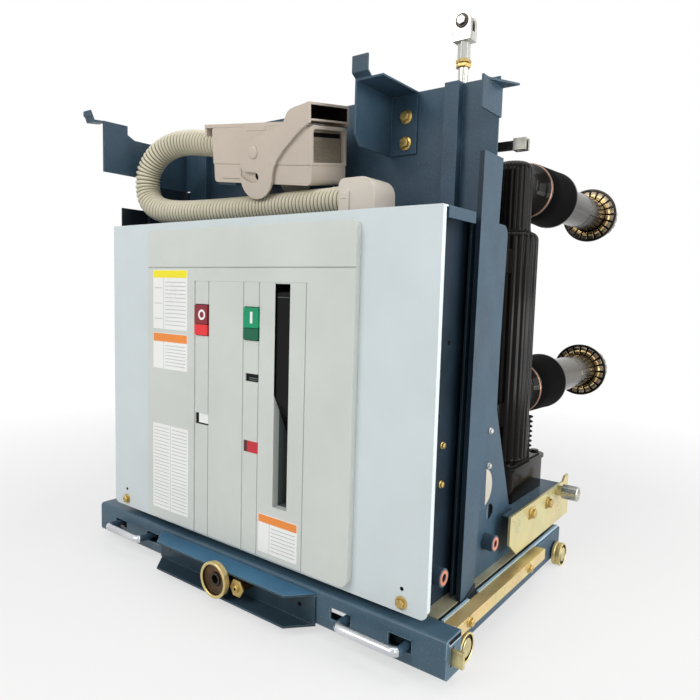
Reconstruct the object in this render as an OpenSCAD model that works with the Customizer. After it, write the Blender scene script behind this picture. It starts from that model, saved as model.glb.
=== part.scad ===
// Draw-out medium-voltage vacuum circuit breaker on its racking truck.
// Millimetres. +X is to the right seen from the front, +Y to the rear, +Z up.
// Datum of the numbers below: the front cover's face is Y = 0, the floor is Z = 0.
// The finished part is shifted along Y so that its own box is centred on Y = 0.

/* [Front cover] */
// Height of the front cover
cover_h = 494; // [480:1:520]
// Height of the cover's lower edge above the floor
cover_z = 72; // [70:1:80]
// Thickness of the cover sheet
cover_t = 2; // [1.5:0.5:3]
// Depth of the fold along the cover's top edge
cover_top_fold = 14; // [8:1:20]
// Depth of the folds down the cover's sides
cover_side_fold = 8; // [5:1:12]
// Radius of the cover's lower corners
cover_r = 10; // [4:1:20]

/* [Bezel] */
// Width of the raised plastic bezel
bezel_w = 424; // [400:4:440]
// Height of the bezel's lower edge above the cover's lower edge
bezel_up = 8; // [6:1:14]
// Distance of the bezel's upper edge below the cover's upper edge
bezel_down = 13; // [8:1:20]
// How far the bezel stands out from the cover
bezel_t = 10; // [8:1:14]
// Width of the bezel's grooves
groove_w = 2; // [1:0.5:3]
// Depth of the bezel's grooves
groove_d = 2; // [1:0.5:3]
// Distance of the cross groove below the bezel's upper edge
groove_down = 59; // [50:1:66]

/* [Push buttons] */
// Width of a push button
button_w = 29; // [24:1:32]
// Height of a push button
button_h = 46; // [38:1:52]
// Distance of the buttons' lower edge below the bezel's upper edge
button_down = 161; // [150:1:170]
// Place of the open button's centre across the front
open_x = -77; // [-82:1:-74]
// Place of the close button's centre across the front
close_x = 31; // [28:1:34]
// Gap round a button in its hole
button_gap = 1; // [0.5:0.5:2]
// How far a button stands out of the bezel
button_proud = 2; // [1:0.5:6]
// How far a button can be pressed
button_travel = 6; // [3:1:8]

/* [Charging lever] */
// Width of the lever's slot
slot_w = 27; // [25:1:32]
// Distance of the slot's upper end below the bezel's upper edge
slot_down = 81; // [70:1:90]
// Height of the slot's lower end above the bezel's lower edge
slot_up = 78; // [70:1:90]
// Place of the slot's centre across the front
slot_x = 90; // [86:1:92]
// Thickness of the charging lever
lever_t = 17; // [10:1:17]
// Depth of the pocket behind the cover
pocket_d = 60; // [56:1:80]
// Wall of the pocket
pocket_t = 2; // [1.5:0.5:3]

/* [Mechanism housing] */
// Gap between the housing's sides and the side panels
side_gap = 7; // [5:1:12]
// Depth from the cover's face to the back plate's front
box_d = 150; // [140:2:160]
// Thickness of the folded steel sheets
sheet = 3; // [2:0.5:4]
// How far the back plate's upper part stands out of the side panels
back_out = 8; // [6:1:12]
// Height of the back plate's top above the top shelf
back_up = 182; // [160:2:200]
// Depth of the frame behind the back plate
rear_d = 52; // [48:1:90]

/* [Side frames] */
// How far the side frame's strip stands out of its panel
strip_out = 15; // [10:1:18]
// Height of the strip's top above the top shelf
strip_up = 78; // [60:2:100]
// Diameter of a lifting bush
bush_d = 24; // [18:1:30]
// Height of the lifting bushes above the floor
bush_z = 110; // [100:1:120]

/* [Truck] */
// Diameter of a wheel's flange
wheel_d = 40; // [36:1:44]
// Distance of the rear axle behind the poles' centre line
axle_behind = 62; // [56:1:70]
// Place of the front axle behind the cover's face
front_axle_y = 64; // [62:1:70]
// How far a wheel's outer face stands out of its rail
wheel_out = 17; // [16:1:20]
// Axle diameter
axle_d = 14; // [10:1:16]
// Radial running clearance of a wheel or roller on its axle
run_gap = 0.1; // [0.05:0.01:0.1]
// How far the side rails stand out of the cover's sides
rail_out = 8; // [6:1:10]
// Height of the side rails
rail_h = 46; // [44:1:50]
// Clearance of the side rails above the floor
rail_clear = 12; // [10:1:14]
// Thickness of the base plate
base_t = 4; // [3:1:6]
// How far the base plate's edges lie inside the cover's sides
base_in = 3; // [2:1:8]
// Distance of the truck's rear end behind the rear axle
truck_behind = 26; // [24:1:36]

/* [Poles] */
// Distance between neighbouring poles
pole_pitch = 250; // [240:5:255]
// Distance of the poles' centre line behind the back plate's front
pole_behind = 220; // [216:2:230]
// Diameter of a pole's body
pole_d = 92; // [90:2:100]
// Height of a pole's top above its upper contact arm's axis
head_over = 38; // [36:1:50]
// Clearance between an outer pole's foot and the side panel
pole_room = 2; // [1:1:8]
// Height of the platform's top above the floor
platform_z = 132; // [128:1:150]
// How far the platform's sides stand out of the cover's sides
platform_out = 5; // [3:1:8]
// Height of the upper contact arms above the floor
arm_up_z = 646; // [640:2:660]
// Height of the lower contact arms above the floor
arm_low_z = 303; // [296:1:310]
// Diameter of a contact arm
arm_d = 70; // [60:2:72]
// Diameter of a tulip contact
tulip_d = 114; // [104:2:120]
// Bore of a tulip contact
tulip_bore = 76; // [70:1:84]
// Length of a tulip contact
tulip_l = 60; // [50:2:70]
// Distance of the tulip contacts' front face behind the poles' centre line
arm_reach = 426; // [400:2:450]
// Diameter of the shroud round a contact arm at its rear rim
shroud_d = 104; // [98:2:112]
// Length of the shroud round a contact arm
shroud_l = 118; // [100:2:130]

/* [Racking girder] */
// How far the cross girder's ends stand out of the wheels
girder_out = 8; // [6:1:12]
// Height of the cross girder
girder_h = 50; // [46:1:50]
// Clearance of the girder above the floor
girder_clear = 14; // [12:1:16]
// Front face of the girder before the cover's face
girder_front = 9; // [6:1:12]
// Depth of the girder
girder_d = 37; // [34:1:37]
// Length of the nose channel along its front edge
nose_w = 276; // [260:2:300]
// How far the nose's middle lies to the left of the girder's
nose_left = 7; // [0:1:10]
// How far the nose stands out of the girder
nose_d = 33; // [28:1:40]
// Outer diameter of the racking socket's ring
socket_d = 54; // [50:1:54]
// Inner diameter of the racking socket's ring
socket_bore = 43; // [36:1:44]
// Length of the ring before the nose
socket_l = 10; // [9:1:14]
// Diameter of the racking screw
screw_d = 20; // [16:1:22]
// How far the truck travels on its screw
rack_travel = 200; // [150:10:200]

/* [Latch handles] */
// Distance between a handle's two legs
handle_l = 92; // [80:2:96]
// Place of a handle's inner leg from the middle
handle_x = 211; // [206:1:216]
// Diameter of a handle's grip
grip_d = 12; // [10:1:14]
// Diameter of a handle's legs
leg_d = 9; // [7:1:10]
// How far a handle can be pushed inward
latch_travel = 18; // [12:1:18]
// How far a latch's tongue stands out of the girder's end
tongue_out = 15; // [10:1:16]

/* [Plug and conduit] */
// Diameter of the corrugated conduit
conduit_d = 42; // [40:1:42]
// Length of the plug's hood
plug_l = 206; // [200:2:212]
// Height of the plug's hood
plug_h = 81; // [78:1:82]
// Width of the plug's hood from front to rear
plug_w = 79; // [74:1:80]
// How far the plug's right end leans down, in degrees
plug_lean = 6.3; // [4:0.1:8]
// How far the plug is tipped back on its rest, in degrees
plug_tip = 9.2; // [6:0.1:10]

/* [Interlock rod] */
// Diameter of the interlock rod
rod_d = 14; // [12:1:16]
// Height of the rod's clevis top above the back plate
rod_up = 106; // [90:2:130]
// How far the rod can rise
rod_travel = 25; // [15:1:30]

/* [Hidden] */
$fn = 64;

// Room left round anything that moves
gap = 5;

deck_z = rail_clear + rail_h + base_t;
rail_top = rail_clear + rail_h;
cover_top = cover_z + cover_h;
shelf_top = cover_top;
bezel_z = cover_z + bezel_up;
bezel_top = cover_top - bezel_down;
button_z = bezel_top - button_down;
slot_z = bezel_z + slot_up;
slot_h = bezel_top - slot_down - slot_z;

// Across: each side panel clears the outer pole's foot, and the rest follows the panels
foot_out = 9;
panel_x = pole_pitch + pole_d / 2 + foot_out + pole_room + sheet;
strip_x = panel_x + strip_out;
cover_x = strip_x;
box_x = panel_x - sheet - side_gap;
back_x = panel_x + back_out;
base_x = cover_x - base_in;
rail_x = cover_x + rail_out;
rail_depth = 28;
wheel_x = rail_x + wheel_out;
wheel_r = wheel_d / 2;
lip_x = cover_x + platform_out;
girder_x = wheel_x + girder_out;

// From front to rear
girder_y = -girder_front;
girder_back = girder_y + girder_d;
girder_top = girder_clear + girder_h;
truck_front = girder_back + gap;
back_y = box_d;
strip_front = back_y - 61;
flare_end = back_y + 138;
rear_y = back_y + sheet + rear_d;
pole_y = back_y + pole_behind;
rear_axle_y = pole_y + axle_behind;
truck_end = rear_axle_y + truck_behind;
platform_front = back_y + 100;
platform_rear = truck_end + 19;
roller_y = platform_rear - 47;
tulip_y = pole_y + arm_reach;

back_top = shelf_top + back_up;
strip_top = shelf_top + strip_up;
rod_top = back_top + rod_up;
pole_top = arm_up_z + head_over;
roller_d = 25;
roller_z = platform_z;
roller_out = 40;
bracket_t = 4;
tongue_x = girder_x + tongue_out;
nose_z = girder_clear - 2;
nose_h = 46;
nose_front = girder_y - nose_d;
socket_z = 42;
socket_front = nose_front - socket_l;
socket_tube_d = screw_d + 5;
grip_y = girder_y - 22;
latch_y = girder_y + 13;
latch_t = 5;
latch_z = 39;
latch_h = 20;
hook_front = -22;
hook_curl = 24;
// The part's box runs from the curled tip or the socket to the tulips' rear face
front_end = min(socket_front, hook_front - hook_curl);
mid_y = (front_end + tulip_y + tulip_l) / 2;

steel_blue = [0.24, 0.36, 0.44];
cover_grey = [0.80, 0.84, 0.85];
bezel_grey = [0.80, 0.82, 0.80];
plug_beige = [0.78, 0.74, 0.68];
conduit_cream = [0.80, 0.78, 0.70];
epoxy_black = [0.12, 0.11, 0.10];
zinc_gold = [0.75, 0.70, 0.43];
silver = [0.80, 0.80, 0.80];
bronze = [0.47, 0.41, 0.33];

// Route of the conduit's centre line, from the elbow round to the plug
conduit_route = [[110, 70, 589], [70, 70, 589], [36, 70, 589], [-15, 70, 588.5],
    [-65, 67, 588], [-115, 62, 587.5], [-160, 57, 587.5], [-200, 53, 588.5],
    [-236, 49, 592], [-263, 46, 600], [-281, 45, 613], [-289, 45, 630], [-290, 45, 648],
    [-286, 46, 665], [-275, 48, 681], [-261, 51, 693], [-245, 55, 701], [-225, 59, 706],
    [-203, 63, 707], [-179, 67, 705], [-152, 70, 701], [-120, 74, 696], [-104, 76, 693]];

// ---------------------------------------------------------------- shared shapes

module place() {
    translate([0, -mid_y, 0]) children();
}

// A block between two corners
module block(lo, hi) {
    translate(lo) cube(hi - lo);
}

// An outline drawn in Y and Z, extruded along X
module along_x(x0, x1) {
    translate([x0, 0, 0]) rotate([90, 0, 90]) linear_extrude(x1 - x0) children();
}

// An outline drawn in X and Z, extruded along Y
module along_y(y0, y1) {
    translate([0, y1, 0]) rotate([90, 0, 0]) linear_extrude(y1 - y0) children();
}

// An outline drawn in X and Y, extruded along Z
module along_z(z0, z1) {
    translate([0, 0, z0]) linear_extrude(z1 - z0) children();
}

module rod_x(x0, x1, y, z, d) {
    translate([x0, y, z]) rotate([0, 90, 0]) cylinder(h = x1 - x0, d = d);
}

module rod_y(y0, y1, x, z, d, d2 = 0) {
    translate([x, y0, z]) rotate([-90, 0, 0])
        cylinder(h = y1 - y0, d1 = d, d2 = d2 == 0 ? d : d2);
}

module rod_z(z0, z1, x, y, d) {
    translate([x, y, z0]) cylinder(h = z1 - z0, d = d);
}

// Both halves of something drawn on the right
module both() {
    children();
    mirror([1, 0, 0]) children();
}

// Points of an arc round c
function arc(c, r, a0, a1, n = 6) =
    [for (i = [0:n]) c + r * [cos(a0 + (a1 - a0) * i / n), sin(a0 + (a1 - a0) * i / n)]];

// A rectangle with a radius at each corner, named from the lower left, anticlockwise
function round_rect(lo, hi, r_ll, r_lr, r_ur, r_ul) = concat(
    arc(lo + [r_ll, r_ll], r_ll, 180, 270),
    arc([hi[0] - r_lr, lo[1] + r_lr], r_lr, 270, 360),
    arc(hi - [r_ur, r_ur], r_ur, 0, 90),
    arc([lo[0] + r_ul, hi[1] - r_ul], r_ul, 90, 180));

// ---------------------------------------------------------------- front cover

// The holes that the lever's slot and the buttons need, over a stretch of Y
module front_openings(y0, y1, spare) {
    block([slot_x - slot_w / 2 - spare, y0, slot_z - spare],
        [slot_x + slot_w / 2 + spare, y1, slot_z + slot_h + spare]);
    for (x = [open_x, close_x])
        block([x - button_w / 2 - button_gap, y0, button_z - button_gap],
            [x + button_w / 2 + button_gap, y1, button_z + button_h + button_gap]);
}

module front_cover() {
    half = cover_x;
    color(cover_grey) place() difference() {
        union() {
            along_y(0, cover_t)
                polygon(round_rect([-half, cover_z], [half, cover_top], cover_r, cover_r, 1, 1));
            block([-half + 1, 0, cover_top - cover_t], [half - 1, cover_top_fold, cover_top]);
            both() block([half - cover_t, 0, cover_z + cover_r],
                [half, cover_side_fold, cover_top - 1]);
        }
        front_openings(-1, cover_t + 1, 0);
    }
}

// The three small windows: place, width, lower edge, height
windows = [[-76.5, 29, bezel_z + 173.5, 17.5], [32, 25, bezel_z + 252, 11.5],
    [31, 28, bezel_z + 148.5, 17]];

module window_blocks(y0, y1, spare) {
    for (w = windows)
        block([w[0] - w[1] / 2 - spare, y0, w[2] - spare],
            [w[0] + w[1] / 2 + spare, y1, w[2] + w[3] + spare]);
}

module cover_bezel() {
    half = bezel_w / 2;
    cross_z = bezel_top - groove_down;
    upright_top = cross_z - 20;
    insert_step = 0.6;
    uprights = [-93, -61.5, 14, 45.5, 132.5];
    color(bezel_grey) place() difference() {
        along_y(-bezel_t, 0)
            polygon(round_rect([-half, bezel_z], [half, bezel_top], 14, 14, 8, 8));
        front_openings(-bezel_t - 1, 1, 0);
        window_blocks(-bezel_t - 1, 1, 0);
        block([-half - 1, -bezel_t - 1, cross_z - groove_w / 2],
            [half + 1, -bezel_t + groove_d, cross_z + groove_w / 2]);
        for (x = uprights)
            block([x - groove_w / 2, -bezel_t - 1, bezel_z - 1],
                [x + groove_w / 2, -bezel_t + groove_d, upright_top]);
        block([uprights[0], -bezel_t - 1, bezel_z - 1],
            [uprights[4], -bezel_t + insert_step, upright_top]);
    }
}

module indicator_windows() {
    color("white") place() window_blocks(-bezel_t + 1.5, 0, 0);
}

button_back = 10;
stem_d = 12;
stem_end = button_back + 30;
stem_z = button_z + button_h / 2;

// A push button: a cap in its hole and a stem in its guide behind it
module push_button(x) {
    place() {
        block([x - button_w / 2, -bezel_t - button_proud, button_z],
            [x + button_w / 2, button_back, button_z + button_h]);
        rod_y(button_back, stem_end, x, stem_z, stem_d);
    }
}

module open_button() {
    color([0.88, 0.20, 0.22]) push_button(open_x);
}

module close_button() {
    color([0.0, 0.59, 0.39]) push_button(close_x);
}

// Pivot of the charging lever
lever_y = 36;
lever_z = slot_z + 30;
lever_foot = 14;
lever_head = slot_z + slot_h - 2 * gap;

// The charging lever: its front edge runs back to the pivot in its lower part
module charging_lever() {
    front = -8;
    depth = 38;
    outline = concat([[front, lever_head - 3], [front + 3, lever_head], [depth - 4, lever_head],
        [depth, lever_head - 6], [depth, lever_z + 110]],
        arc([lever_y, lever_z], lever_foot, 15, -170, 8),
        [[front + 18, lever_z + 76], [front + 5, lever_z + 110], [front, lever_z + 124]]);
    color([0.10, 0.10, 0.11]) place() difference() {
        along_x(slot_x - lever_t / 2, slot_x + lever_t / 2) polygon(outline);
        rod_x(slot_x - lever_t, slot_x + lever_t, lever_y, lever_z, 8 + 2 * run_gap);
    }
}

// The pocket that the lever folds into, with the lever's pin across it
module lever_pocket() {
    x0 = slot_x - slot_w / 2;
    x1 = slot_x + slot_w / 2;
    color([0.35, 0.38, 0.40]) place() {
        difference() {
            block([x0 - pocket_t, cover_t, slot_z - pocket_t],
                [x1 + pocket_t, cover_t + pocket_d, slot_z + slot_h + pocket_t]);
            block([x0, cover_t - 1, slot_z],
                [x1, cover_t + pocket_d - pocket_t, slot_z + slot_h]);
        }
        rod_x(x0, x1, lever_y, lever_z, 8);
    }
}

// ---------------------------------------------------------------- housing

// The closed housing of the spring mechanism, with room for the pocket and the buttons
module mechanism_box() {
    half = box_x;
    well = button_back + button_travel + gap;
    color(steel_blue) place() difference() {
        union() {
            block([-half, cover_t, cover_z], [half, back_y, shelf_top - sheet]);
            block([-half, truck_front + gap, deck_z], [half, back_y, cover_z]);
        }
        block([slot_x - slot_w / 2 - pocket_t, 0, slot_z - pocket_t],
            [slot_x + slot_w / 2 + pocket_t, cover_t + pocket_d, slot_z + slot_h + pocket_t]);
        for (x = [open_x, close_x]) {
            block([x - button_w / 2 - button_gap, 0, button_z - button_gap],
                [x + button_w / 2 + button_gap, well, button_z + button_h + button_gap]);
            rod_y(well - 1, stem_end + button_travel + gap, x, stem_z, stem_d + 2 * run_gap);
        }
    }
}

module base_plate() {
    color([0.43, 0.43, 0.38]) place()
        block([-base_x, truck_front, rail_top], [base_x, truck_end, deck_z]);
}

// One side frame: a panel with an inclined folded strip down its front
module side_frame() {
    front_high = strip_front + 11;
    wide_low = 39;
    wide_high = 57;
    panel_top = shelf_top - sheet;
    panel_back = back_y + 61;
    flare_z = 300;
    hole_y = back_y + 53;
    hole_z = 150;
    window_y = back_y + 29;
    window_z = 189;
    corner_r = 14;
    front_lip = 7;
    color(steel_blue) place() {
        difference() {
            along_x(panel_x - sheet, panel_x)
                polygon(concat([[strip_front + 4, deck_z], [flare_end, deck_z], [flare_end, 110],
                    [panel_back, flare_z], [panel_back + 1, 400]],
                    arc([panel_back + 7 - corner_r, panel_top - corner_r], corner_r, 0, 90),
                    [[front_high + 4, panel_top]]));
            rod_x(panel_x - 2 * sheet, panel_x + 1, hole_y, hole_z, 23);
            rod_x(panel_x - 2 * sheet, panel_x + 1, window_y, window_z, 56);
        }
        along_x(strip_x - sheet, strip_x)
            polygon([[strip_front, deck_z], [strip_front + wide_low, deck_z],
                [front_high + wide_high, strip_top], [front_high, strip_top]]);
        along_x(strip_x - front_lip, strip_x - sheet)
            polygon([[strip_front, deck_z], [strip_front + sheet, deck_z],
                [front_high + sheet, strip_top], [front_high, strip_top]]);
        along_x(panel_x, strip_x - sheet)
            polygon([[strip_front + wide_low - sheet, deck_z], [strip_front + wide_low, deck_z],
                [front_high + wide_high, strip_top], [front_high + wide_high - sheet, strip_top]]);
    }
}

module side_frame_right() {
    side_frame();
}

module side_frame_left() {
    mirror([1, 0, 0]) side_frame();
}

// The tall plate between the mechanism and the poles, with a folded rib near each side
module back_plate() {
    half = back_x;
    inner = panel_x - sheet;
    rib_x = 244;
    rib_w = 22;
    rib_out = 14;
    color(steel_blue) place() {
        along_y(back_y, back_y + sheet)
            polygon([[-inner, deck_z], [inner, deck_z], [inner, strip_top + 2],
                [half, strip_top + 2], [half, back_top], [-half, back_top],
                [-half, strip_top + 2], [-inner, strip_top + 2]]);
        both() block([rib_x, back_y - rib_out, shelf_top], [rib_x + rib_w, back_y, back_top]);
    }
}

module top_shelf() {
    half = cover_x;
    lip = 14;
    wide_to = strip_front - gap;
    color(steel_blue) place() {
        block([-half, cover_top_fold, shelf_top - sheet], [half, wide_to, shelf_top]);
        block([-panel_x, wide_to, shelf_top - sheet], [panel_x, back_y, shelf_top]);
        both() block([half - sheet, cover_top_fold, shelf_top - lip],
            [half, wide_to, shelf_top - sheet]);
    }
}

// A small upright plate on the shelf's left front corner
module corner_tab() {
    x0 = -cover_x;
    color([0.12, 0.13, 0.14]) place()
        block([x0, cover_top_fold + 1, shelf_top], [x0 + sheet, 75, shelf_top + 34]);
}

// The box frame behind the back plate that the poles bolt to
module rear_frame() {
    half = panel_x - sheet;
    top = shelf_top - sheet;
    y0 = back_y + sheet;
    color(steel_blue) place() difference() {
        union() {
            both() block([half - sheet, y0, deck_z], [half, rear_y, top]);
            block([-half + sheet, rear_y - sheet, deck_z], [half - sheet, rear_y, top]);
            block([-half + sheet, y0, top - sheet], [half - sheet, rear_y - sheet, top]);
        }
        rod_z(top - 2 * sheet, top + 1, interlock_x, interlock_y, rod_d + 2 * run_gap);
    }
}

module rear_platform() {
    lip = 32;
    front = max(platform_front, rear_y);
    slot = 0.5;
    color([0.36, 0.45, 0.52]) place() {
        difference() {
            block([-lip_x, front, platform_z - sheet], [lip_x, platform_rear, platform_z]);
            both() block([panel_x - sheet - slot, front - 1, platform_z - sheet - 1],
                [panel_x + slot, flare_end + slot, platform_z + 1]);
        }
        both() block([lip_x - sheet, front, platform_z - lip],
            [lip_x, platform_rear, platform_z - sheet]);
    }
}

// The upright sheets between the base plate and the platform: one a side and one across
module platform_legs() {
    leg_x = panel_x + 2;
    leg_rear = truck_end - 2;
    color([0.36, 0.45, 0.52]) place() {
        both() block([leg_x - sheet, flare_end + 14, deck_z],
            [leg_x, leg_rear, platform_z - sheet]);
        block([-leg_x + sheet, leg_rear - sheet, deck_z],
            [leg_x - sheet, leg_rear, platform_z - sheet]);
    }
}

// ---------------------------------------------------------------- poles

neck_end = pole_y + pole_d / 2 + 8;
collar_w = 8;
collar_d = 94;
block_top = platform_z + 58;
arm_heights = [arm_up_z, arm_low_z];

// An epoxy pole: base block, body, shoulder, head, two necks and its mounting pads
module pole(x) {
    r = pole_d / 2;
    shoulder = arm_up_z - 76;
    head_r = 32;
    dome = 16;
    round_r = 14;
    spine_y = pole_y + r + 14;
    block_half = 78;
    rim = 3;
    body_outline = concat([[0, platform_z], [r, platform_z], [r, shoulder - round_r]],
        arc([r - round_r, shoulder - round_r], round_r, 0, 90, 4),
        [[head_r, shoulder], [head_r, pole_top - dome]],
        arc([head_r - dome, pole_top - dome], dome, 0, 90, 4), [[0, pole_top]]);
    rim_plan = round_rect([x - r - foot_out, pole_y - block_half - rim],
        [x + r + foot_out, pole_y + block_half + rim], 22, 22, 22, 22);
    color(epoxy_black) place() {
        translate([x, pole_y, 0]) rotate_extrude() polygon(body_outline);
        along_z(platform_z, block_top - 6) offset(delta = -rim) polygon(rim_plan);
        along_z(block_top - 6, block_top) polygon(rim_plan);
        // Ribbed spine down the rear
        block([x - 14, pole_y, block_top], [x + 14, spine_y, arm_low_z]);
        for (z = [block_top + 12 : 14 : arm_low_z - 55])
            block([x - 11, spine_y, z], [x + 11, spine_y + 3, z + 4]);
        // Necks towards the contact arms, each with a collar
        rod_y(pole_y, neck_end, x, arm_up_z, 60, collar_d - 4);
        rod_y(pole_y, neck_end, x, arm_low_z, 76, collar_d - 4);
        for (z = arm_heights) rod_y(neck_end, neck_end + collar_w, x, z, collar_d);
    }
}

module pole_left() {
    pole(-pole_pitch);
}

module pole_middle() {
    pole(0);
}

module pole_right() {
    pole(pole_pitch);
}

// The six brackets that hold the poles off the rear frame
module pole_mounts() {
    half = 22;
    mount_h = 40;
    heights = [block_top + 60, pole_top - 184];
    color(epoxy_black) place() for (x = pole_pitch * [-1, 0, 1], z = heights) difference() {
        block([x - half, rear_y, z], [x + half, pole_y, z + mount_h]);
        rod_z(z - 1, z + mount_h + 1, x, pole_y, pole_d);
    }
}

shroud_y = neck_end + collar_w;
arm_seat = 8;

// The insulating shrouds on the arms, each with a bore for its arm and a hollow rear end
module pole_shrouds() {
    hollow = 30;
    color(epoxy_black) place() for (x = pole_pitch * [-1, 0, 1], z = arm_heights) difference() {
        rod_y(shroud_y, shroud_y + shroud_l, x, z, collar_d + 2, shroud_d);
        rod_y(shroud_y - 1, shroud_y + shroud_l + 1, x, z, arm_d);
        rod_y(shroud_y + shroud_l - hollow, shroud_y + shroud_l + 1, x, z, shroud_d - 10);
    }
}

module contact_arms() {
    color(bronze) place() for (x = pole_pitch * [-1, 0, 1], z = arm_heights)
        rod_y(shroud_y, tulip_y + arm_seat, x, z, arm_d);
}

// A tulip contact: a bored taper with a wide front rim and two grooves for its springs
module tulip(x, z) {
    r = tulip_d / 2;
    waist = 5;
    taper = 6;
    groove_r = r - waist - taper + 1;
    rim = 8;
    web = 5;
    color(bronze) place() difference() {
        translate([x, tulip_y, z]) rotate([-90, 0, 0]) rotate_extrude() difference() {
            polygon([[0, 0], [r, 0], [r, rim], [r - waist, rim + waist],
                [r - waist - taper, tulip_l], [0, tulip_l]]);
            for (y = [22, 36]) translate([groove_r, y]) square([waist, 5]);
        }
        rod_y(tulip_y - 1, tulip_y + arm_seat, x, z, arm_d);
        rod_y(tulip_y + arm_seat + web, tulip_y + tulip_l + 1, x, z, tulip_bore);
    }
}

module tulip_upper_left() {
    tulip(-pole_pitch, arm_up_z);
}

module tulip_upper_middle() {
    tulip(0, arm_up_z);
}

module tulip_upper_right() {
    tulip(pole_pitch, arm_up_z);
}

module tulip_lower_left() {
    tulip(-pole_pitch, arm_low_z);
}

module tulip_lower_middle() {
    tulip(0, arm_low_z);
}

module tulip_lower_right() {
    tulip(pole_pitch, arm_low_z);
}

// ---------------------------------------------------------------- brackets on top

// Left hook: a long notched plate with a curled tip, reaching forward from the back plate
module hook_bracket_left() {
    x1 = -back_x;
    x0 = x1 - sheet;
    low = back_top - 92;
    step_y = 60;
    color(steel_blue) place() {
        along_x(x0, x1) polygon([[hook_front, low], [step_y, low], [step_y, strip_top],
            [back_y + sheet, strip_top], [back_y + sheet, back_top - 29],
            [38, back_top - 29], [24, back_top - 22], [24, back_top - 7],
            [hook_front, back_top - 8]]);
        along_x(x0 - 18, x1) polygon([[hook_front - hook_curl, back_top - 4],
            [hook_front - hook_curl + 3, back_top - 6], [hook_front - 18, back_top - 14],
            [hook_front + 4, back_top - 11], [hook_front + 4, back_top - 8],
            [hook_front - 16, back_top - 10], [hook_front - hook_curl + 2, back_top + 4],
            [hook_front - hook_curl, back_top + 4]]);
    }
}

// Right hook: an upright plate with a top flange, a raised front tab and a bolting flange
module hook_bracket_right() {
    x0 = 150;
    x1 = 196;
    front = 60;
    low = back_top - 86;
    color(steel_blue) place() {
        along_x(x0, x0 + sheet) polygon([[front, back_top], [front, low + 14],
            [front + 12, low], [back_y, low], [back_y, back_top]]);
        block([x0 + sheet, front, back_top - sheet], [x1, back_y, back_top]);
        block([x0 + sheet, back_y - sheet, low], [x1, back_y, back_top - sheet]);
        along_x(x0, x1 - 20) polygon([[front, back_top - sheet], [front, back_top],
            [front - 8, back_top + 5], [front - 8, back_top + 27], [front - 5, back_top + 27],
            [front - 5, back_top + 7], [front + 4, back_top]]);
    }
}

// A small plate at the back plate's right corner, with a three-cornered flange
module corner_hook() {
    x0 = back_x;
    front = back_y - 55;
    low = back_top - 53;
    top = back_top - 13;
    color(steel_blue) place() {
        block([x0, front, low], [x0 + sheet, back_y + sheet, top]);
        along_z(top - sheet, top)
            polygon([[x0 + sheet, front + 14], [x0 + 26, back_y + sheet],
                [x0 + sheet, back_y + sheet]]);
    }
}

// ---------------------------------------------------------------- truck

// Two channels that open inward, with the stub axles on their outer faces
module truck_rails() {
    color(steel_blue) place() both() {
        difference() {
            block([rail_x - rail_depth, truck_front, rail_clear],
                [rail_x, truck_end, rail_top]);
            block([rail_x - rail_depth - 1, truck_front - 1, rail_clear + sheet],
                [rail_x - sheet, truck_end + 1, rail_top - sheet]);
        }
        for (y = [front_axle_y, rear_axle_y]) rod_x(rail_x, wheel_x - 4, y, wheel_r, axle_d);
    }
}

arm_x = 150;
guide_w = 12;
guide_h = 20;
guide_z = 30;

// The plate under the deck that guides the arms and holds the nut of the racking screw
module truck_crossbar() {
    half = rail_x - rail_depth;
    y0 = truck_front + 27;
    slide_gap = 2;
    color(steel_blue) place() difference() {
        union() {
            block([-half, y0, rail_clear], [half, y0 + 8, rail_top]);
            block([-26, y0 + 8, rail_clear + 4], [26, y0 + 34, rail_top]);
        }
        rod_y(y0 - 1, y0 + 35, 0, socket_z, screw_d + 3);
        both() block([arm_x - slide_gap, y0 - 1, guide_z - slide_gap],
            [arm_x + guide_w + slide_gap, y0 + 9, guide_z + guide_h + slide_gap]);
    }
}

// Gold angle bars along the tops of the rails
module guide_rails() {
    leg = 17;
    end_y = pole_y - 32;
    inner = base_x + 1;
    color(zinc_gold) place() both() {
        block([inner, truck_front, rail_top], [wheel_x, end_y, rail_top + sheet]);
        block([wheel_x - sheet, truck_front, rail_top + sheet - leg],
            [wheel_x, end_y, rail_top]);
    }
}

// A flanged wheel with a recessed outer face, on its stub axle
module wheel(side, y) {
    flange_w = 4;
    w = wheel_x - rail_x - 2.5;
    tread_r = wheel_r - 1;
    bore_r = axle_d / 2 + run_gap;
    outline = [[bore_r, 0], [wheel_r, 0], [wheel_r, flange_w], [tread_r, flange_w],
        [tread_r, w], [tread_r - 3, w], [tread_r - 4, w - 3], [bore_r, w - 3]];
    color(zinc_gold) place() translate([side * (rail_x + 2.5), y, wheel_r])
        rotate([0, side * 90, 0]) rotate_extrude() polygon(outline);
}

module wheel_front_left() {
    wheel(-1, front_axle_y);
}

module wheel_front_right() {
    wheel(1, front_axle_y);
}

module wheel_rear_left() {
    wheel(-1, rear_axle_y);
}

module wheel_rear_right() {
    wheel(1, rear_axle_y);
}

// Gold plates bolted to the platform's sides, each with a raised tab and a roller's axle
module shutter_brackets() {
    y0 = platform_front - 24;
    y1 = platform_rear + 16;
    top = platform_z + 8;
    low = platform_z - 57;
    color(zinc_gold) place() both() {
        along_x(lip_x, lip_x + bracket_t)
            polygon([[y0, top], [y0, low + 22], [y0 + 28, low], [y1, low], [y1, low + 34],
                [y1 - 6, top - 12], [y1 - 6, top + 8], [y1 - 22, top + 8], [y1 - 30, top]]);
        rod_x(lip_x + bracket_t, lip_x + bracket_t + 9, roller_y, roller_z, 18);
        rod_x(lip_x + bracket_t + 9, lip_x + roller_out - 2, roller_y, roller_z, 10);
    }
}

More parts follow.
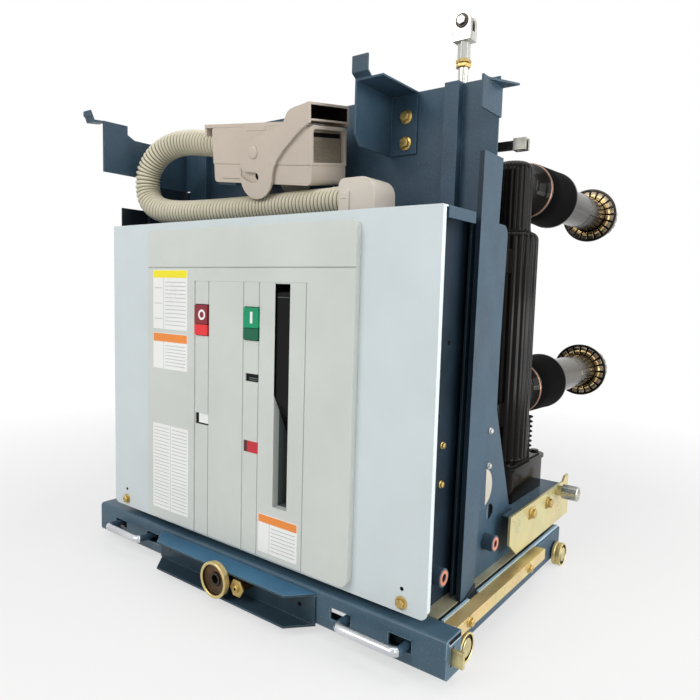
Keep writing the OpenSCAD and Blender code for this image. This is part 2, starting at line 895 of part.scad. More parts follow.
module shutter_roller(side) {
    start = lip_x + bracket_t + 10;
    w = lip_x + roller_out - start;
    color(silver) place() translate([side * start, roller_y, roller_z])
        rotate([0, side * 90, 0]) rotate_extrude()
            polygon([[5 + run_gap, 0], [roller_d / 2, 0], [roller_d / 2, w - 1],
                [roller_d / 2 - 1, w], [7, w], [7, w - 2], [5 + run_gap, w - 2]]);
}

module shutter_roller_left() {
    shutter_roller(-1);
}

module shutter_roller_right() {
    shutter_roller(1);
}

// Bushes for the lifting bars: one pair on the housing, one pair on the side panels
module lifting_bushes() {
    bore = 10;
    front_y = 46;
    rear_bush_y = back_y + 40;
    color([0.30, 0.36, 0.42]) place() both() {
        difference() {
            rod_x(box_x, box_x + 22, front_y, bush_z, bush_d);
            rod_x(box_x + 4, box_x + 23, front_y, bush_z, bore);
        }
        difference() {
            rod_x(panel_x, panel_x + 17, rear_bush_y, bush_z, bush_d);
            rod_x(panel_x + 4, panel_x + 18, rear_bush_y, bush_z, bore);
        }
    }
}

// ---------------------------------------------------------------- racking girder

// The folded cross girder, open to the rear, with the handles' slots and end slots
module girder_beam() {
    half = girder_x;
    slot_half = 8;
    color(steel_blue) place() difference() {
        along_x(-half, half) polygon(round_rect([girder_y, girder_clear],
            [girder_back, girder_top], 5, 1, 1, 5));
        block([-half + sheet, girder_y + sheet, girder_clear + sheet],
            [half - sheet, girder_back + 1, girder_top - sheet]);
        rod_y(girder_y - 1, girder_y + sheet + 1, 0, socket_z, socket_tube_d);
        both() for (x = [handle_x, handle_x + handle_l])
            block([x - latch_travel - leg_d / 2 - 3, girder_y - 1, latch_z - slot_half],
                [x + leg_d / 2 + 3, girder_y + sheet + 1, latch_z + slot_half]);
        both() block([half - sheet - 1, latch_y - 2, latch_z - latch_h / 2 - 2],
            [half + 1, latch_y + latch_t + 2, latch_z + latch_h / 2 + 2]);
    }
}

// The nose channel on the girder's front, with the socket's tube through its web
module girder_nose() {
    half = nose_w / 2;
    flare = nose_d - 3;
    web = girder_y - sheet;
    plan = [[-half - flare, girder_y], [-half, nose_front], [half, nose_front],
        [half + flare, girder_y]];
    color([0.25, 0.45, 0.54]) place() difference() {
        translate([-nose_left, 0, 0]) {
            along_z(nose_z + nose_h - sheet, nose_z + nose_h) polygon(plan);
            along_z(nose_z, nose_z + sheet) polygon(plan);
            block([-half - flare, web, nose_z + sheet],
                [half + flare, girder_y, nose_z + nose_h - sheet]);
        }
        rod_y(web - 1, girder_y + 1, 0, socket_z, socket_tube_d);
    }
}

// Two bars that carry the girder out of the truck
module guide_arms() {
    arm_end = truck_front + rack_travel + 70;
    color(steel_blue) place() both()
        block([arm_x, girder_y + sheet, guide_z], [arm_x + guide_w, arm_end, guide_z + guide_h]);
}

// The cup that a crank handle goes into, and the tube behind it that the screw turns in
module racking_socket() {
    cup_deep = 7;
    color(zinc_gold) place() difference() {
        union() {
            rod_y(socket_front, nose_front, 0, socket_z, socket_d);
            rod_y(nose_front, girder_y + sheet, 0, socket_z, socket_tube_d);
        }
        rod_y(socket_front - 1, socket_front + cup_deep, 0, socket_z, socket_bore);
        rod_y(socket_front, girder_y + sheet + 1, 0, socket_z, screw_d + 2 * run_gap);
    }
}

// The key lock beside the ring: a barrel and a six-sided plate
module racking_lock() {
    x = 39;
    z = socket_z - 4;
    plate_y = nose_front + 1;
    color(zinc_gold) place() {
        rod_y(plate_y + 3, girder_y - sheet, x, z, 16);
        translate([x, plate_y + 3, z]) rotate([90, 0, 0]) cylinder(h = 3, d = 27, $fn = 6);
        rod_y(plate_y - 3, plate_y, x, z, 9);
    }
}

// The screw that drives the truck, held in the tube, with its hexagon end in the cup
module racking_screw() {
    head_y = socket_front + 5;
    end_y = truck_front + rack_travel + 60;
    hexagon_d = 14;
    color([0.35, 0.33, 0.30]) place() difference() {
        rod_y(head_y, end_y, 0, socket_z, screw_d);
        translate([0, head_y - 1, socket_z]) rotate([-90, 0, 0])
            cylinder(h = 15, d = hexagon_d, $fn = 6);
    }
}

// A latch handle: grip, two legs through the girder, and the latch plate with its tongue
module latch_handle() {
    x1 = handle_x + handle_l;
    color(silver) place() {
        rod_x(handle_x - grip_d / 2, x1 + grip_d / 2, grip_y, latch_z, grip_d);
        for (x = [handle_x, x1]) rod_y(grip_y, latch_y, x, latch_z, leg_d);
        block([handle_x - leg_d, latch_y, latch_z - latch_h / 2],
            [tongue_x, latch_y + latch_t, latch_z + latch_h / 2]);
    }
}

module latch_handle_right() {
    latch_handle();
}

module latch_handle_left() {
    mirror([1, 0, 0]) latch_handle();
}

// ---------------------------------------------------------------- plug and conduit

elbow_y = conduit_route[0][1];
elbow_z = conduit_route[0][2];
elbow_nut_x = conduit_route[0][0];

// The moulded elbow that the conduit comes out of, with its collar nut
module conduit_elbow() {
    nut_l = 28;
    body_l = 60;
    body_h = 50;
    x0 = elbow_nut_x + nut_l;
    x1 = x0 + body_l;
    half = 25;
    color(plug_beige) place() {
        along_y(elbow_y - half, elbow_y + half)
            polygon(round_rect([x0, shelf_top], [x1, shelf_top + body_h], 1, 1, 24, 8));
        rod_x(elbow_nut_x, x0, elbow_y, elbow_z, conduit_d + 3);
        block([x0 + 4, elbow_y - half - 3, shelf_top], [x0 + 20, elbow_y - half, shelf_top + 34]);
    }
}

// The conduit's tube: rings of points square to the route
function unit(v) = v / norm(v);
function heading(p, i) = unit(p[min(i + 1, len(p) - 1)] - p[max(i - 1, 0)]);
function ring(c, t, r, n) =
    let (side = [0, 1, 0], u = unit(side - (side * t) * t), v = cross(t, u))
    [for (k = [0:n - 1]) c + r * (cos(360 * k / n) * u + sin(360 * k / n) * v)];

module tube(route, d, n = 12) {
    rings = len(route);
    points = [for (i = [0:rings - 1]) each ring(route[i], heading(route, i), d / 2, n)];
    ends = [[for (k = [0:n - 1]) k], [for (k = [n - 1:-1:0]) (rings - 1) * n + k]];
    sides = [for (i = [0:rings - 2], k = [0:n - 1])
        [i * n + k, (i + 1) * n + k, (i + 1) * n + (k + 1) % n, i * n + (k + 1) % n]];
    polyhedron(points, concat(ends, sides));
}

module conduit() {
    color(conduit_cream) place() tube(conduit_route, conduit_d);
}

// The plug's frame: origin at the middle of its front side's left edge
plug_x = -112;
plug_y = 40;
plug_z = 672.4;

module plug_frame() {
    place() translate([plug_x, plug_y, plug_z]) rotate([plug_tip, plug_lean, 0]) children();
}

// Pivot of the bail in the plug's frame
lever_px = 96;
lever_pz = 4.4;
cheek_t = 4;
bail_pin_d = 9;

// The plug's hood and lid, with a pocket in its contact end
module plug_body() {
    half = plug_h / 2;
    lid_t = 5.5;
    lid_over = 17;
    lid_end = lever_px + 54;
    pocket = 10;
    pocket_z = -13;
    wall = 5;
    color(plug_beige) plug_frame() difference() {
        union() {
            block([0, 0, -half], [plug_l, plug_w, half]);
            block([-lid_over, 0, half], [lid_end, plug_w, half + lid_t]);
            rod_y(-cheek_t - 3, plug_w + cheek_t + 3, lever_px, lever_pz, bail_pin_d);
        }
        block([plug_l - pocket, wall, pocket_z], [plug_l + 1, plug_w - wall, half - wall]);
    }
}

// The plug's locking bail: two cheeks and the hollow grip across them
module plug_lever() {
    pivot = [lever_px, lever_pz];
    cheek = concat(arc([4, -33.5], 33, 170, 370, 10),
        [[40, -18], [52, -3], [95, 27], [108, 39], [109, 66], [83, 61], [65, 51], [61, 43],
        [22, 25.5], [-10, 15], [-29, 4], [-33, -9], [-31, -22]]);
    grip = [[62, 42], [109, 42], [109, 66], [83, 61], [65, 51]];
    hollow = [[70, 44.5], [110, 44.5], [110, 63.5], [84, 58.5], [70, 50.5]];
    color(plug_beige) plug_frame() {
        for (y = [-cheek_t - 1, plug_w + 1]) difference() {
            along_y(y, y + cheek_t) translate(pivot) polygon(cheek);
            rod_y(y - 1, y + cheek_t + 1, lever_px, lever_pz, bail_pin_d + 2 * run_gap);
        }
        difference() {
            along_y(-1, plug_w + 1) translate(pivot) polygon(grip);
            along_y(-2, plug_w + 2) translate(pivot) polygon(hollow);
        }
    }
}

// The strap from the back plate that the parked plug stands on
module plug_rest() {
    strap_t = 4;
    under = -plug_h / 2;
    color(steel_blue) difference() {
        plug_frame() block([4, 6, under - strap_t], [44, back_y, under]);
        place() block([plug_x - 40, back_y, plug_z + under - 40],
            [plug_x + 80, 2 * back_y, plug_z + 40]);
    }
}

// ---------------------------------------------------------------- interlock

interlock_x = 245;
interlock_y = back_y + 36;

// The rod behind the back plate, with a locknut, a hexagon sleeve and a clevis
module interlock_rod() {
    clevis_w = 27;
    clevis_d = 20;
    clevis_h = 38;
    slot = 8;
    sleeve_h = 24;
    nut_h = 11;
    clevis_z = rod_top - clevis_h;
    sleeve_z = clevis_z - sleeve_h;
    x = interlock_x;
    y = interlock_y;
    color(silver) place() {
        rod_z(shelf_top - rod_travel - 65, sleeve_z, x, y, rod_d);
        translate([x, y, sleeve_z - nut_h]) cylinder(h = nut_h, d = rod_d + 8, $fn = 6);
        translate([x, y, sleeve_z]) cylinder(h = sleeve_h, d = rod_d + 4, $fn = 6);
        difference() {
            block([x - clevis_w / 2, y - clevis_d / 2, clevis_z],
                [x + clevis_w / 2, y + clevis_d / 2, rod_top]);
            block([x - clevis_w, y - slot / 2, clevis_z + 12],
                [x + clevis_w, y + slot / 2, rod_top + 1]);
            rod_y(y - clevis_d, y + clevis_d, x, rod_top - 12, 12);
        }
    }
}

// The short link bar beside the rod, held by a block on the back plate
module rear_link() {
    x0 = interlock_x + 20;
    z = back_top - 82;
    color(silver) place() {
        block([x0, back_y + sheet, z - 9], [x0 + 20, interlock_y + 10, z + 9]);
        block([x0 + 20, interlock_y - 3, z - 6], [x0 + 62, interlock_y + 3, z + 6]);
        difference() {
            block([x0 + 62, interlock_y - 7, z - 8], [x0 + 80, interlock_y + 7, z + 8]);
            block([x0 + 67, interlock_y - 3, z - 9], [x0 + 81, interlock_y + 3, z + 9]);
        }
    }
}

front_cover();
cover_bezel();
open_button();
close_button();
indicator_windows();
charging_lever();
lever_pocket();
mechanism_box();
base_plate();
side_frame_left();
side_frame_right();
back_plate();
top_shelf();
corner_tab();
rear_frame();
rear_platform();
platform_legs();
pole_left();
pole_middle();
pole_right();
pole_shrouds();
pole_mounts();
contact_arms();
tulip_upper_left();
tulip_upper_middle();
tulip_upper_right();
tulip_lower_left();
tulip_lower_middle();
tulip_lower_right();
hook_bracket_left();
hook_bracket_right();
corner_hook();
truck_rails();
truck_crossbar();
guide_rails();
shutter_brackets();
shutter_roller_left();
shutter_roller_right();
lifting_bushes();
wheel_front_left();
wheel_front_right();
wheel_rear_left();
wheel_rear_right();
girder_beam();
girder_nose();
guide_arms();
racking_socket();
racking_lock();
racking_screw();
latch_handle_left();
latch_handle_right();
conduit_elbow();
conduit();
plug_body();
plug_lever();
plug_rest();
interlock_rod();
rear_link();
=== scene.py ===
"""Draw-out vacuum circuit breaker on its racking truck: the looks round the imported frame.

Numbers are millimetres in the part's own datum: X to the right seen from the front, Y to the
rear from the cover's face, Z up from the floor. at() turns them into the frame's metres.
"""
import bmesh
import bpy
import math
from mathutils import Matrix, Vector

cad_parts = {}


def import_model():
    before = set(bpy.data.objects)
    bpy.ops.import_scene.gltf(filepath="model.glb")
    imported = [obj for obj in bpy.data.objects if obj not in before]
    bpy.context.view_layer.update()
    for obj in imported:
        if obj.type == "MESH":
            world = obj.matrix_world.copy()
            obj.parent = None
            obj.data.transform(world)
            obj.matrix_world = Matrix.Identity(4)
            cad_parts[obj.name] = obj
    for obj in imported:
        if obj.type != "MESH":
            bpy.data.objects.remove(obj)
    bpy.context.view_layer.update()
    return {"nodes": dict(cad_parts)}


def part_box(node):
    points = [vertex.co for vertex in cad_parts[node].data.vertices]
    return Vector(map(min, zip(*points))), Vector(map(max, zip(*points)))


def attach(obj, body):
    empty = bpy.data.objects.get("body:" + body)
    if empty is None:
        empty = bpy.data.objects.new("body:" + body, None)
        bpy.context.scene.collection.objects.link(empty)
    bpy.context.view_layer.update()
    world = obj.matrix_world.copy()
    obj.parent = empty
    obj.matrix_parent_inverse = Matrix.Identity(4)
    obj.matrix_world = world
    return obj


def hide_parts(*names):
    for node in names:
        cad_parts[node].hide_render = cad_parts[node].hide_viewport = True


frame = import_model()

MM = 0.001
FACE_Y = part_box("front_cover")[0].y
NODES = frame["nodes"]
SIDES = (-1, 1)


def at(x, y, z):
    """A point of the part's datum in the frame's metres."""
    return Vector((x * MM, FACE_Y + y * MM, z * MM))


# ---------------------------------------------------------------- camera

CAM_YAW, CAM_PITCH, CAM_ROLL = (math.radians(a) for a in (36.895, -5.401, 1.606))
CAM_AT = (668.9, -625.6, 464.3)
CAM_LENS = 31.81
SENSOR = 36


def camera():
    """The camera at the photograph's view, from its place, its three angles and its lens."""
    ahead = Vector((-math.sin(CAM_YAW) * math.cos(CAM_PITCH),
                    math.cos(CAM_YAW) * math.cos(CAM_PITCH), math.sin(CAM_PITCH)))
    level = Vector((math.cos(CAM_YAW), math.sin(CAM_YAW), 0))
    up = level.cross(ahead)
    right = math.cos(CAM_ROLL) * level + math.sin(CAM_ROLL) * up
    top = math.cos(CAM_ROLL) * up - math.sin(CAM_ROLL) * level
    turn = Matrix((right, top, -ahead)).transposed().to_4x4()
    turn.translation = at(*CAM_AT)
    data = bpy.data.cameras.new("camera")
    data.lens = CAM_LENS
    data.sensor_width = SENSOR
    obj = bpy.data.objects.new("camera", data)
    bpy.context.scene.collection.objects.link(obj)
    obj.matrix_world = turn
    bpy.context.scene.camera = obj


camera()

# ---------------------------------------------------------------- materials


def linear(colour):
    """A colour of 0 to 255 sRGB parts as linear parts with alpha."""
    parts = [c / 255 for c in colour]
    return [c / 12.92 if c <= 0.04045 else ((c + 0.055) / 1.055) ** 2.4 for c in parts] + [1]


def shade(colour, factor):
    """A colour of 0 to 255 made darker or lighter."""
    return [min(255, c * factor) for c in colour]


class Nodes:
    """Short calls for the node tree of a material or a world, its owner."""

    def __init__(self, owner, shader="Principled BSDF"):
        self.owner = owner
        owner.use_nodes = True
        self.tree = owner.node_tree
        self.shader = self.tree.nodes[shader]

    def fill(self, socket, value):
        """Links an output to a socket, or sets the socket's own value."""
        if hasattr(value, "is_output"):
            self.tree.links.new(value, socket)
        else:
            socket.default_value = value

    def add(self, kind, **sockets):
        node = self.tree.nodes.new("ShaderNode" + kind)
        for key, value in sockets.items():
            self.fill(node.inputs[key.replace("_", " ")], value)
        return node

    def set(self, name, value):
        self.fill(self.shader.inputs[name], value)

    def place(self, stretch=(1, 1, 1)):
        """Where a point lies on the object, in metres."""
        coord = self.add("TexCoord")
        mapping = self.add("Mapping", Vector=coord.outputs["Object"], Scale=stretch)
        return mapping.outputs["Vector"]

    def noise(self, vector, scale, detail=3.0, rough=0.55):
        node = self.add("TexNoise", Vector=vector, Scale=scale, Detail=detail, Roughness=rough)
        return node.outputs["Fac"]

    def spread(self, value, low, high, to_low, to_high):
        node = self.add("MapRange", Value=value, From_Min=low, From_Max=high, To_Min=to_low,
                        To_Max=to_high)
        return node.outputs["Result"]

    def math(self, what, a, b):
        node = self.add("Math")
        node.operation = what
        for socket, value in zip(node.inputs, (a, b)):
            self.fill(socket, value)
        return node.outputs["Value"]

    def vector(self, what, *values):
        node = self.add("VectorMath")
        node.operation = what
        for socket, value in zip(node.inputs, values):
            self.fill(socket, value)
        return node.outputs["Value"]

    def mix(self, factor, a, b):
        node = self.add("Mix")
        node.data_type = "RGBA"
        for index, value in ((0, factor), (6, a), (7, b)):
            self.fill(node.inputs[index], value)
        return node.outputs[2]

    def edge(self, radius, low, high):
        """1 on edges sharper than the radius shows, 0 on flat ground."""
        bevel = self.add("Bevel", Radius=radius)
        bevel.samples = 4
        flat = self.add("NewGeometry")
        same = self.vector("DOT_PRODUCT", bevel.outputs["Normal"], flat.outputs["Normal"])
        return self.spread(self.math("SUBTRACT", 1.0, same), low, high, 0, 1)

    def seen(self):
        """1 for the rays that show white: from the camera, off gloss or through glass."""
        path = self.add("LightPath")
        either = self.math("MAXIMUM", path.outputs["Is Camera Ray"],
                           path.outputs["Is Transmission Ray"])
        return self.math("MAXIMUM", either, path.outputs["Is Glossy Ray"])

    def blend(self, share, a, b, output):
        """Mixes two shaders into the tree's output node."""
        mix = self.add("MixShader")
        for socket, value in zip(mix.inputs, (share, a.outputs[0], b.outputs[0])):
            self.fill(socket, value)
        self.fill(self.tree.nodes[output].inputs["Surface"], mix.outputs[0])


# The part of the noise that a skin's mottle, tint, specks and light edges (wear and painted
# highlight) each spread over, and how far an edge turns before it shows lighter
MOTTLED, TINTED, SPECKED, WEAR_AND_HIGHLIGHT = (0.3, 0.7), (0.42, 0.66), (0.56, 0.72), (0.35, 0.6)
EDGE_TURN = (0.02, 0.16)


def skin(name, colour, rough=0.45, metal=0.0, mottle=0.05, mottle_size=9.0, grain=1400.0,
         bump=0.06, bump_deep=0.0003, tint=None, tint_size=16.0, tint_share=0.5, edge=None,
         edge_share=0.6, stretch=(1, 1, 1), rough_vary=0.08, dust=0.0, speck_size=150.0,
         gloss=0.5, edge_size=0.0012):
    """A procedural finish: mottled colour, a second tint in patches, light edges that are wear
    and painted highlight, grain.
    """
    n = Nodes(bpy.data.materials.new(name))
    where = n.place(stretch)
    cloud = n.noise(where, mottle_size, 5.0)
    share = n.spread(cloud, *MOTTLED, 0, 1)
    out = n.mix(share, linear(shade(colour, 1 - mottle)), linear(shade(colour, 1 + mottle)))
    if tint:
        patch = n.spread(n.noise(where, tint_size, 4.0, 0.65), *TINTED, 0, tint_share)
        out = n.mix(patch, out, linear(tint))
    if dust:
        speck = n.spread(n.noise(where, speck_size, 2.0), *SPECKED, 0, dust)
        out = n.mix(speck, out, linear(shade(colour, 1.5)))
    if edge:
        wear_and_highlight = n.math("MULTIPLY", n.edge(edge_size, *EDGE_TURN),
                      n.spread(n.noise(where, 60, 3.0), *WEAR_AND_HIGHLIGHT, 0.25, edge_share))
        out = n.mix(wear_and_highlight, out, linear(edge))
    n.set("Base Color", out)
    n.set("Roughness", n.spread(cloud, *MOTTLED, max(0.03, rough - rough_vary),
                                rough + rough_vary))
    n.set("Metallic", metal)
    n.set("Specular IOR Level", gloss)
    fine = n.noise(where, grain, 2.0)
    lift = n.add("Bump", Strength=bump, Distance=bump_deep, Height=fine)
    n.set("Normal", lift.outputs["Normal"])
    return n.owner


# The lighter colour of blue sheet edges: wear and painted highlight
BLUE_EDGE = (128, 152, 166)


def paint(name, colour, rough, tint, **more):
    """Paint on sheet metal: a fine orange peel with light specks, lighter along its edges as wear
    and painted highlight.
    """
    usual = dict(mottle=0.1, bump=0.35, grain=420, edge=BLUE_EDGE, dust=0.2, speck_size=420.0,
                 gloss=0.25)
    return skin(name, colour, rough, tint=tint, **{**usual, **more})


COVER = skin("cover_paint", (208, 217, 219), 0.42, mottle=0.015, bump=0.12, grain=900, gloss=0.3)
BEZEL = skin("bezel_plastic", (207, 211, 206), 0.55, mottle=0.02, bump=0.25, grain=1100,
             gloss=0.3)
BLUE = paint("blue_paint", (48, 70, 86), 0.42, (60, 84, 100), bump=0.45, bump_deep=0.0005,
             edge_share=0.7, dust=0.35, gloss=0.28)
# A darker copy of the blue paint: painted shade on the housing's sides, the side frames' front
# faces and the bracket web
PAINTED_SHADE_BLUE = paint("housing_painted_shade", (26, 38, 49), 0.42, (36, 52, 64), mottle=0.12, bump=0.4,
                   edge=(84, 104, 118), dust=0, gloss=0.2)
# The girder's wide light edges are a painted highlight along its rounded top edge
GIRDER = paint("girder_paint", (62, 86, 101), 0.38, (70, 98, 116), bump=0.4, bump_deep=0.0005,
               edge=(146, 176, 196), edge_share=0.8, dust=0.3, gloss=0.35, edge_size=0.003)
# The nose in two copies of one paint: darker elsewhere as painted shade, lighter on its upward
# faces as painted light
NOSE_SHADED = paint("nose_painted_shade", (44, 62, 73), 0.38, (56, 76, 88))
NOSE_TOP_LIT = paint("nose_top_painted_light", (62, 106, 136), 0.36, (72, 120, 150), mottle=0.08,
                 edge=(160, 196, 214), gloss=0.35)
REAR_BLUE = paint("rear_paint", (78, 100, 116), 0.44, (92, 114, 128), mottle=0.08)
DARK = skin("dark_paint", (26, 34, 40), 0.4, mottle=0.1, bump=0.25, edge=(76, 90, 98),
            gloss=0.25)
DECK = skin("deck_zinc", (168, 165, 140), 0.42, 0.3, mottle=0.14, tint=(150, 140, 106),
            tint_size=22, bump=0.1)
EPOXY = skin("epoxy", (14, 12, 11), 0.13, mottle=0.14, mottle_size=14, bump=0.03, grain=700,
             tint=(24, 21, 18), tint_size=9, tint_share=0.4, gloss=0.09, rough_vary=0.04,
             edge=(96, 93, 89), edge_share=0.12)
RUBBER = skin("shroud_rubber", (6, 6, 6), 0.6, mottle=0.12, bump=0.3, grain=1300,
              tint=(12, 11, 10), tint_share=0.35, gloss=0.01)
GLOSS = skin("glossy_black", (12, 10, 10), 0.1, mottle=0.1, bump=0.03, gloss=0.35)
ARM = skin("arm_metal", (30, 27, 23), 0.2, 0.8, mottle=0.2, mottle_size=26,
           tint=(104, 96, 82), tint_size=20, tint_share=0.7, stretch=(1.6, 0.06, 1.6),
           bump=0.06, grain=2200)
COPPER = skin("copper_ring", (142, 108, 88), 0.3, 0.7, mottle=0.12, tint=(88, 62, 54))
BRONZE = skin("tulip_bronze", (104, 92, 74), 0.25, 0.85, mottle=0.2, mottle_size=40,
              tint=(176, 164, 140), tint_size=60, tint_share=0.7, bump=0.08,
              edge=(226, 214, 188), edge_share=0.9)
BRASS = skin("tulip_brass", (206, 176, 120), 0.22, 0.9, mottle=0.12, mottle_size=30,
             tint=(150, 118, 76), edge=(246, 230, 190), edge_share=0.9)
TULIP_DARK = skin("tulip_rim", (26, 22, 19), 0.25, 0.4, mottle=0.15, edge=(110, 98, 84),
                  gloss=0.4)
SPRING = skin("spring_steel", (120, 114, 104), 0.3, 0.9, mottle=0.1, grain=2600)
ZINC = skin("yellow_zinc", (206, 192, 128), 0.3, 0.5, mottle=0.07, mottle_size=18,
            tint=(216, 172, 126), tint_size=13, tint_share=0.6, edge=(244, 238, 200))
BOLT = skin("bolt_zinc", (190, 162, 96), 0.32, 0.7, mottle=0.14, mottle_size=60,
            tint=(130, 112, 66), tint_size=70, edge=(238, 220, 160))
CHROME = skin("chrome", (208, 210, 213), 0.16, 0.9, mottle=0.05, bump=0.03,
              tint=(168, 172, 176), tint_size=34, tint_share=0.6, stretch=(0.3, 1, 1))
STEEL = skin("bright_steel", (198, 198, 192), 0.26, 0.9, mottle=0.1, tint=(134, 132, 124),
             tint_size=40, stretch=(1, 1, 0.3), edge=(232, 230, 222))
LINK = skin("link_steel", (50, 51, 46), 0.36, 0.6, mottle=0.14, tint=(76, 76, 68),
            tint_size=40, edge=(150, 148, 138), gloss=0.3)
FORK = skin("link_fork", (150, 150, 142), 0.3, 0.8, mottle=0.14, tint=(96, 95, 86),
            tint_size=60, edge=(226, 224, 214))
BRACKET = skin("bracket_zinc", (198, 191, 138), 0.32, 0.45, mottle=0.07, mottle_size=18,
               tint=(206, 176, 124), tint_size=13, tint_share=0.45, edge=(240, 236, 200))
SCREW = skin("screw_steel", (52, 46, 40), 0.34, 0.8, mottle=0.15, tint=(84, 74, 62))
ALUMINIUM = skin("roller_aluminium", (186, 186, 180), 0.26, 0.9, mottle=0.06, grain=2400,
                 edge=(226, 226, 222))
BUSH = skin("bush_paint", (54, 72, 86), 0.4, mottle=0.1, edge=(180, 190, 198), gloss=0.3)
BUSH_FACE = skin("bush_face", (218, 140, 112), 0.34, 0.4, mottle=0.12, tint=(170, 96, 74))
PLUG = skin("plug_plastic", (200, 188, 174), 0.46, mottle=0.03, bump=0.14, grain=1200,
            edge=(226, 218, 206), edge_share=0.5, gloss=0.3)
PLUG_DARK = skin("plug_recess", (128, 119, 104), 0.55, mottle=0.12, bump=0.3, grain=700,
                 gloss=0.2)
ELBOW = skin("elbow_plastic", (212, 203, 191), 0.42, mottle=0.03, bump=0.12, grain=1200,
             edge=(232, 226, 216), edge_share=0.4, gloss=0.35)
CONDUIT = skin("conduit_plastic", (214, 208, 186), 0.34, mottle=0.04, bump=0.06, grain=1500,
               tint=(194, 186, 162), tint_share=0.3, gloss=0.4)
GROOVE = skin("conduit_groove", (128, 120, 96), 0.5, mottle=0.1, bump=0.06, gloss=0.2)
BLACK = skin("black_plastic", (13, 13, 14), 0.36, mottle=0.12, bump=0.2, grain=1300,
             edge=(64, 66, 68), edge_share=0.5, gloss=0.12)
POCKET = skin("pocket_plastic", (96, 105, 102), 0.55, mottle=0.06, bump=0.2, gloss=0.25)
# Painted shadow: the dark inside of holes, vents, slots, keyways and open folds
HOLE = skin("hole_shadow", (10, 9, 10), 0.7, mottle=0.2, bump=0.1, gloss=0.1)
RED_DARK = skin("red_cap", (134, 34, 44), 0.36, mottle=0.05, bump=0.1, gloss=0.35)
RED = skin("red_strip", (228, 50, 56), 0.36, mottle=0.04, bump=0.1, gloss=0.35)
GREEN = skin("green_cap", (0, 150, 102), 0.36, mottle=0.05, bump=0.1, gloss=0.35)
GREEN_DARK = skin("green_strip", (0, 94, 64), 0.36, mottle=0.05, bump=0.1, gloss=0.35)
GRIP_SHADE = skin("grip_painted_shade", (26, 21, 15), 0.6, mottle=0.2, bump=0.1, gloss=0.1)
# A light blue for folded edges: painted highlight
HIGHLIGHT_BLUE = skin("lip_painted_highlight", (150, 174, 188), 0.36, mottle=0.08, bump=0.3, grain=420,
                 gloss=0.35)
MARK = skin("white_mark", (240, 242, 240), 0.4, mottle=0.02, bump=0.05)
CARD = skin("label_card", (240, 241, 238), 0.34, mottle=0.015, bump=0.04)
YELLOW = skin("yellow_header", (246, 232, 20), 0.34, mottle=0.03, bump=0.04)
ORANGE = skin("orange_header", (236, 138, 52), 0.34, mottle=0.03, bump=0.04)
RULE = skin("ruled_line", (146, 150, 152), 0.4, mottle=0.06, bump=0.03)
FLAG = skin("flag_red", (198, 24, 42), 0.3, mottle=0.05, bump=0.03)
FLAG_SHADOW = skin("flag_painted_shadow", (80, 14, 24), 0.3, mottle=0.05, bump=0.03)
DISC = skin("disc_beige", (184, 178, 164), 0.45, mottle=0.05, bump=0.12, tint=(164, 156, 140))
CAP = skin("axle_cap", (188, 176, 128), 0.34, 0.5, mottle=0.1, mottle_size=40,
           tint=(150, 136, 92), tint_size=50, edge=(232, 224, 180))
BROWN = skin("socket_brown", (84, 62, 38), 0.36, 0.6, mottle=0.2, mottle_size=50,
             tint=(40, 30, 22), tint_size=40, edge=(150, 122, 78))

# ---------------------------------------------------------------- forms

# Distances, in metres, below which points are one
WELD, SAME_POINT, NO_LENGTH = 1e-5, 1e-7, 1e-8


def arc(centre, radius, start, end, steps):
    """Points of an arc in a plane, angles in degrees."""
    turns = [math.radians(start + (end - start) * k / steps) for k in range(steps + 1)]
    return [(centre[0] + radius * math.cos(t), centre[1] + radius * math.sin(t)) for t in turns]


def rounded(lo, hi, radius, steps=6):
    """A rectangle with rounded corners, all alike or four from the lower left, anticlockwise."""
    a, b, c, d = radius if isinstance(radius, tuple) else (radius,) * 4
    return (arc((lo[0] + a, lo[1] + a), a, 180, 270, steps)
            + arc((hi[0] - b, lo[1] + b), b, 270, 360, steps)
            + arc((hi[0] - c, hi[1] - c), c, 0, 90, steps)
            + arc((lo[0] + d, hi[1] - d), d, 90, 180, steps))


def lift(axis, point, along):
    """A point of the plane square to an axis, put at a place along it."""
    a, b = point
    return {"x": (along, a, b), "y": (a, along, b), "z": (a, b, along)}[axis]


def sided(profile, side):
    """A profile or an outline with its first measure towards one side, 1 or -1."""
    return [(side * a, b) for a, b in profile]


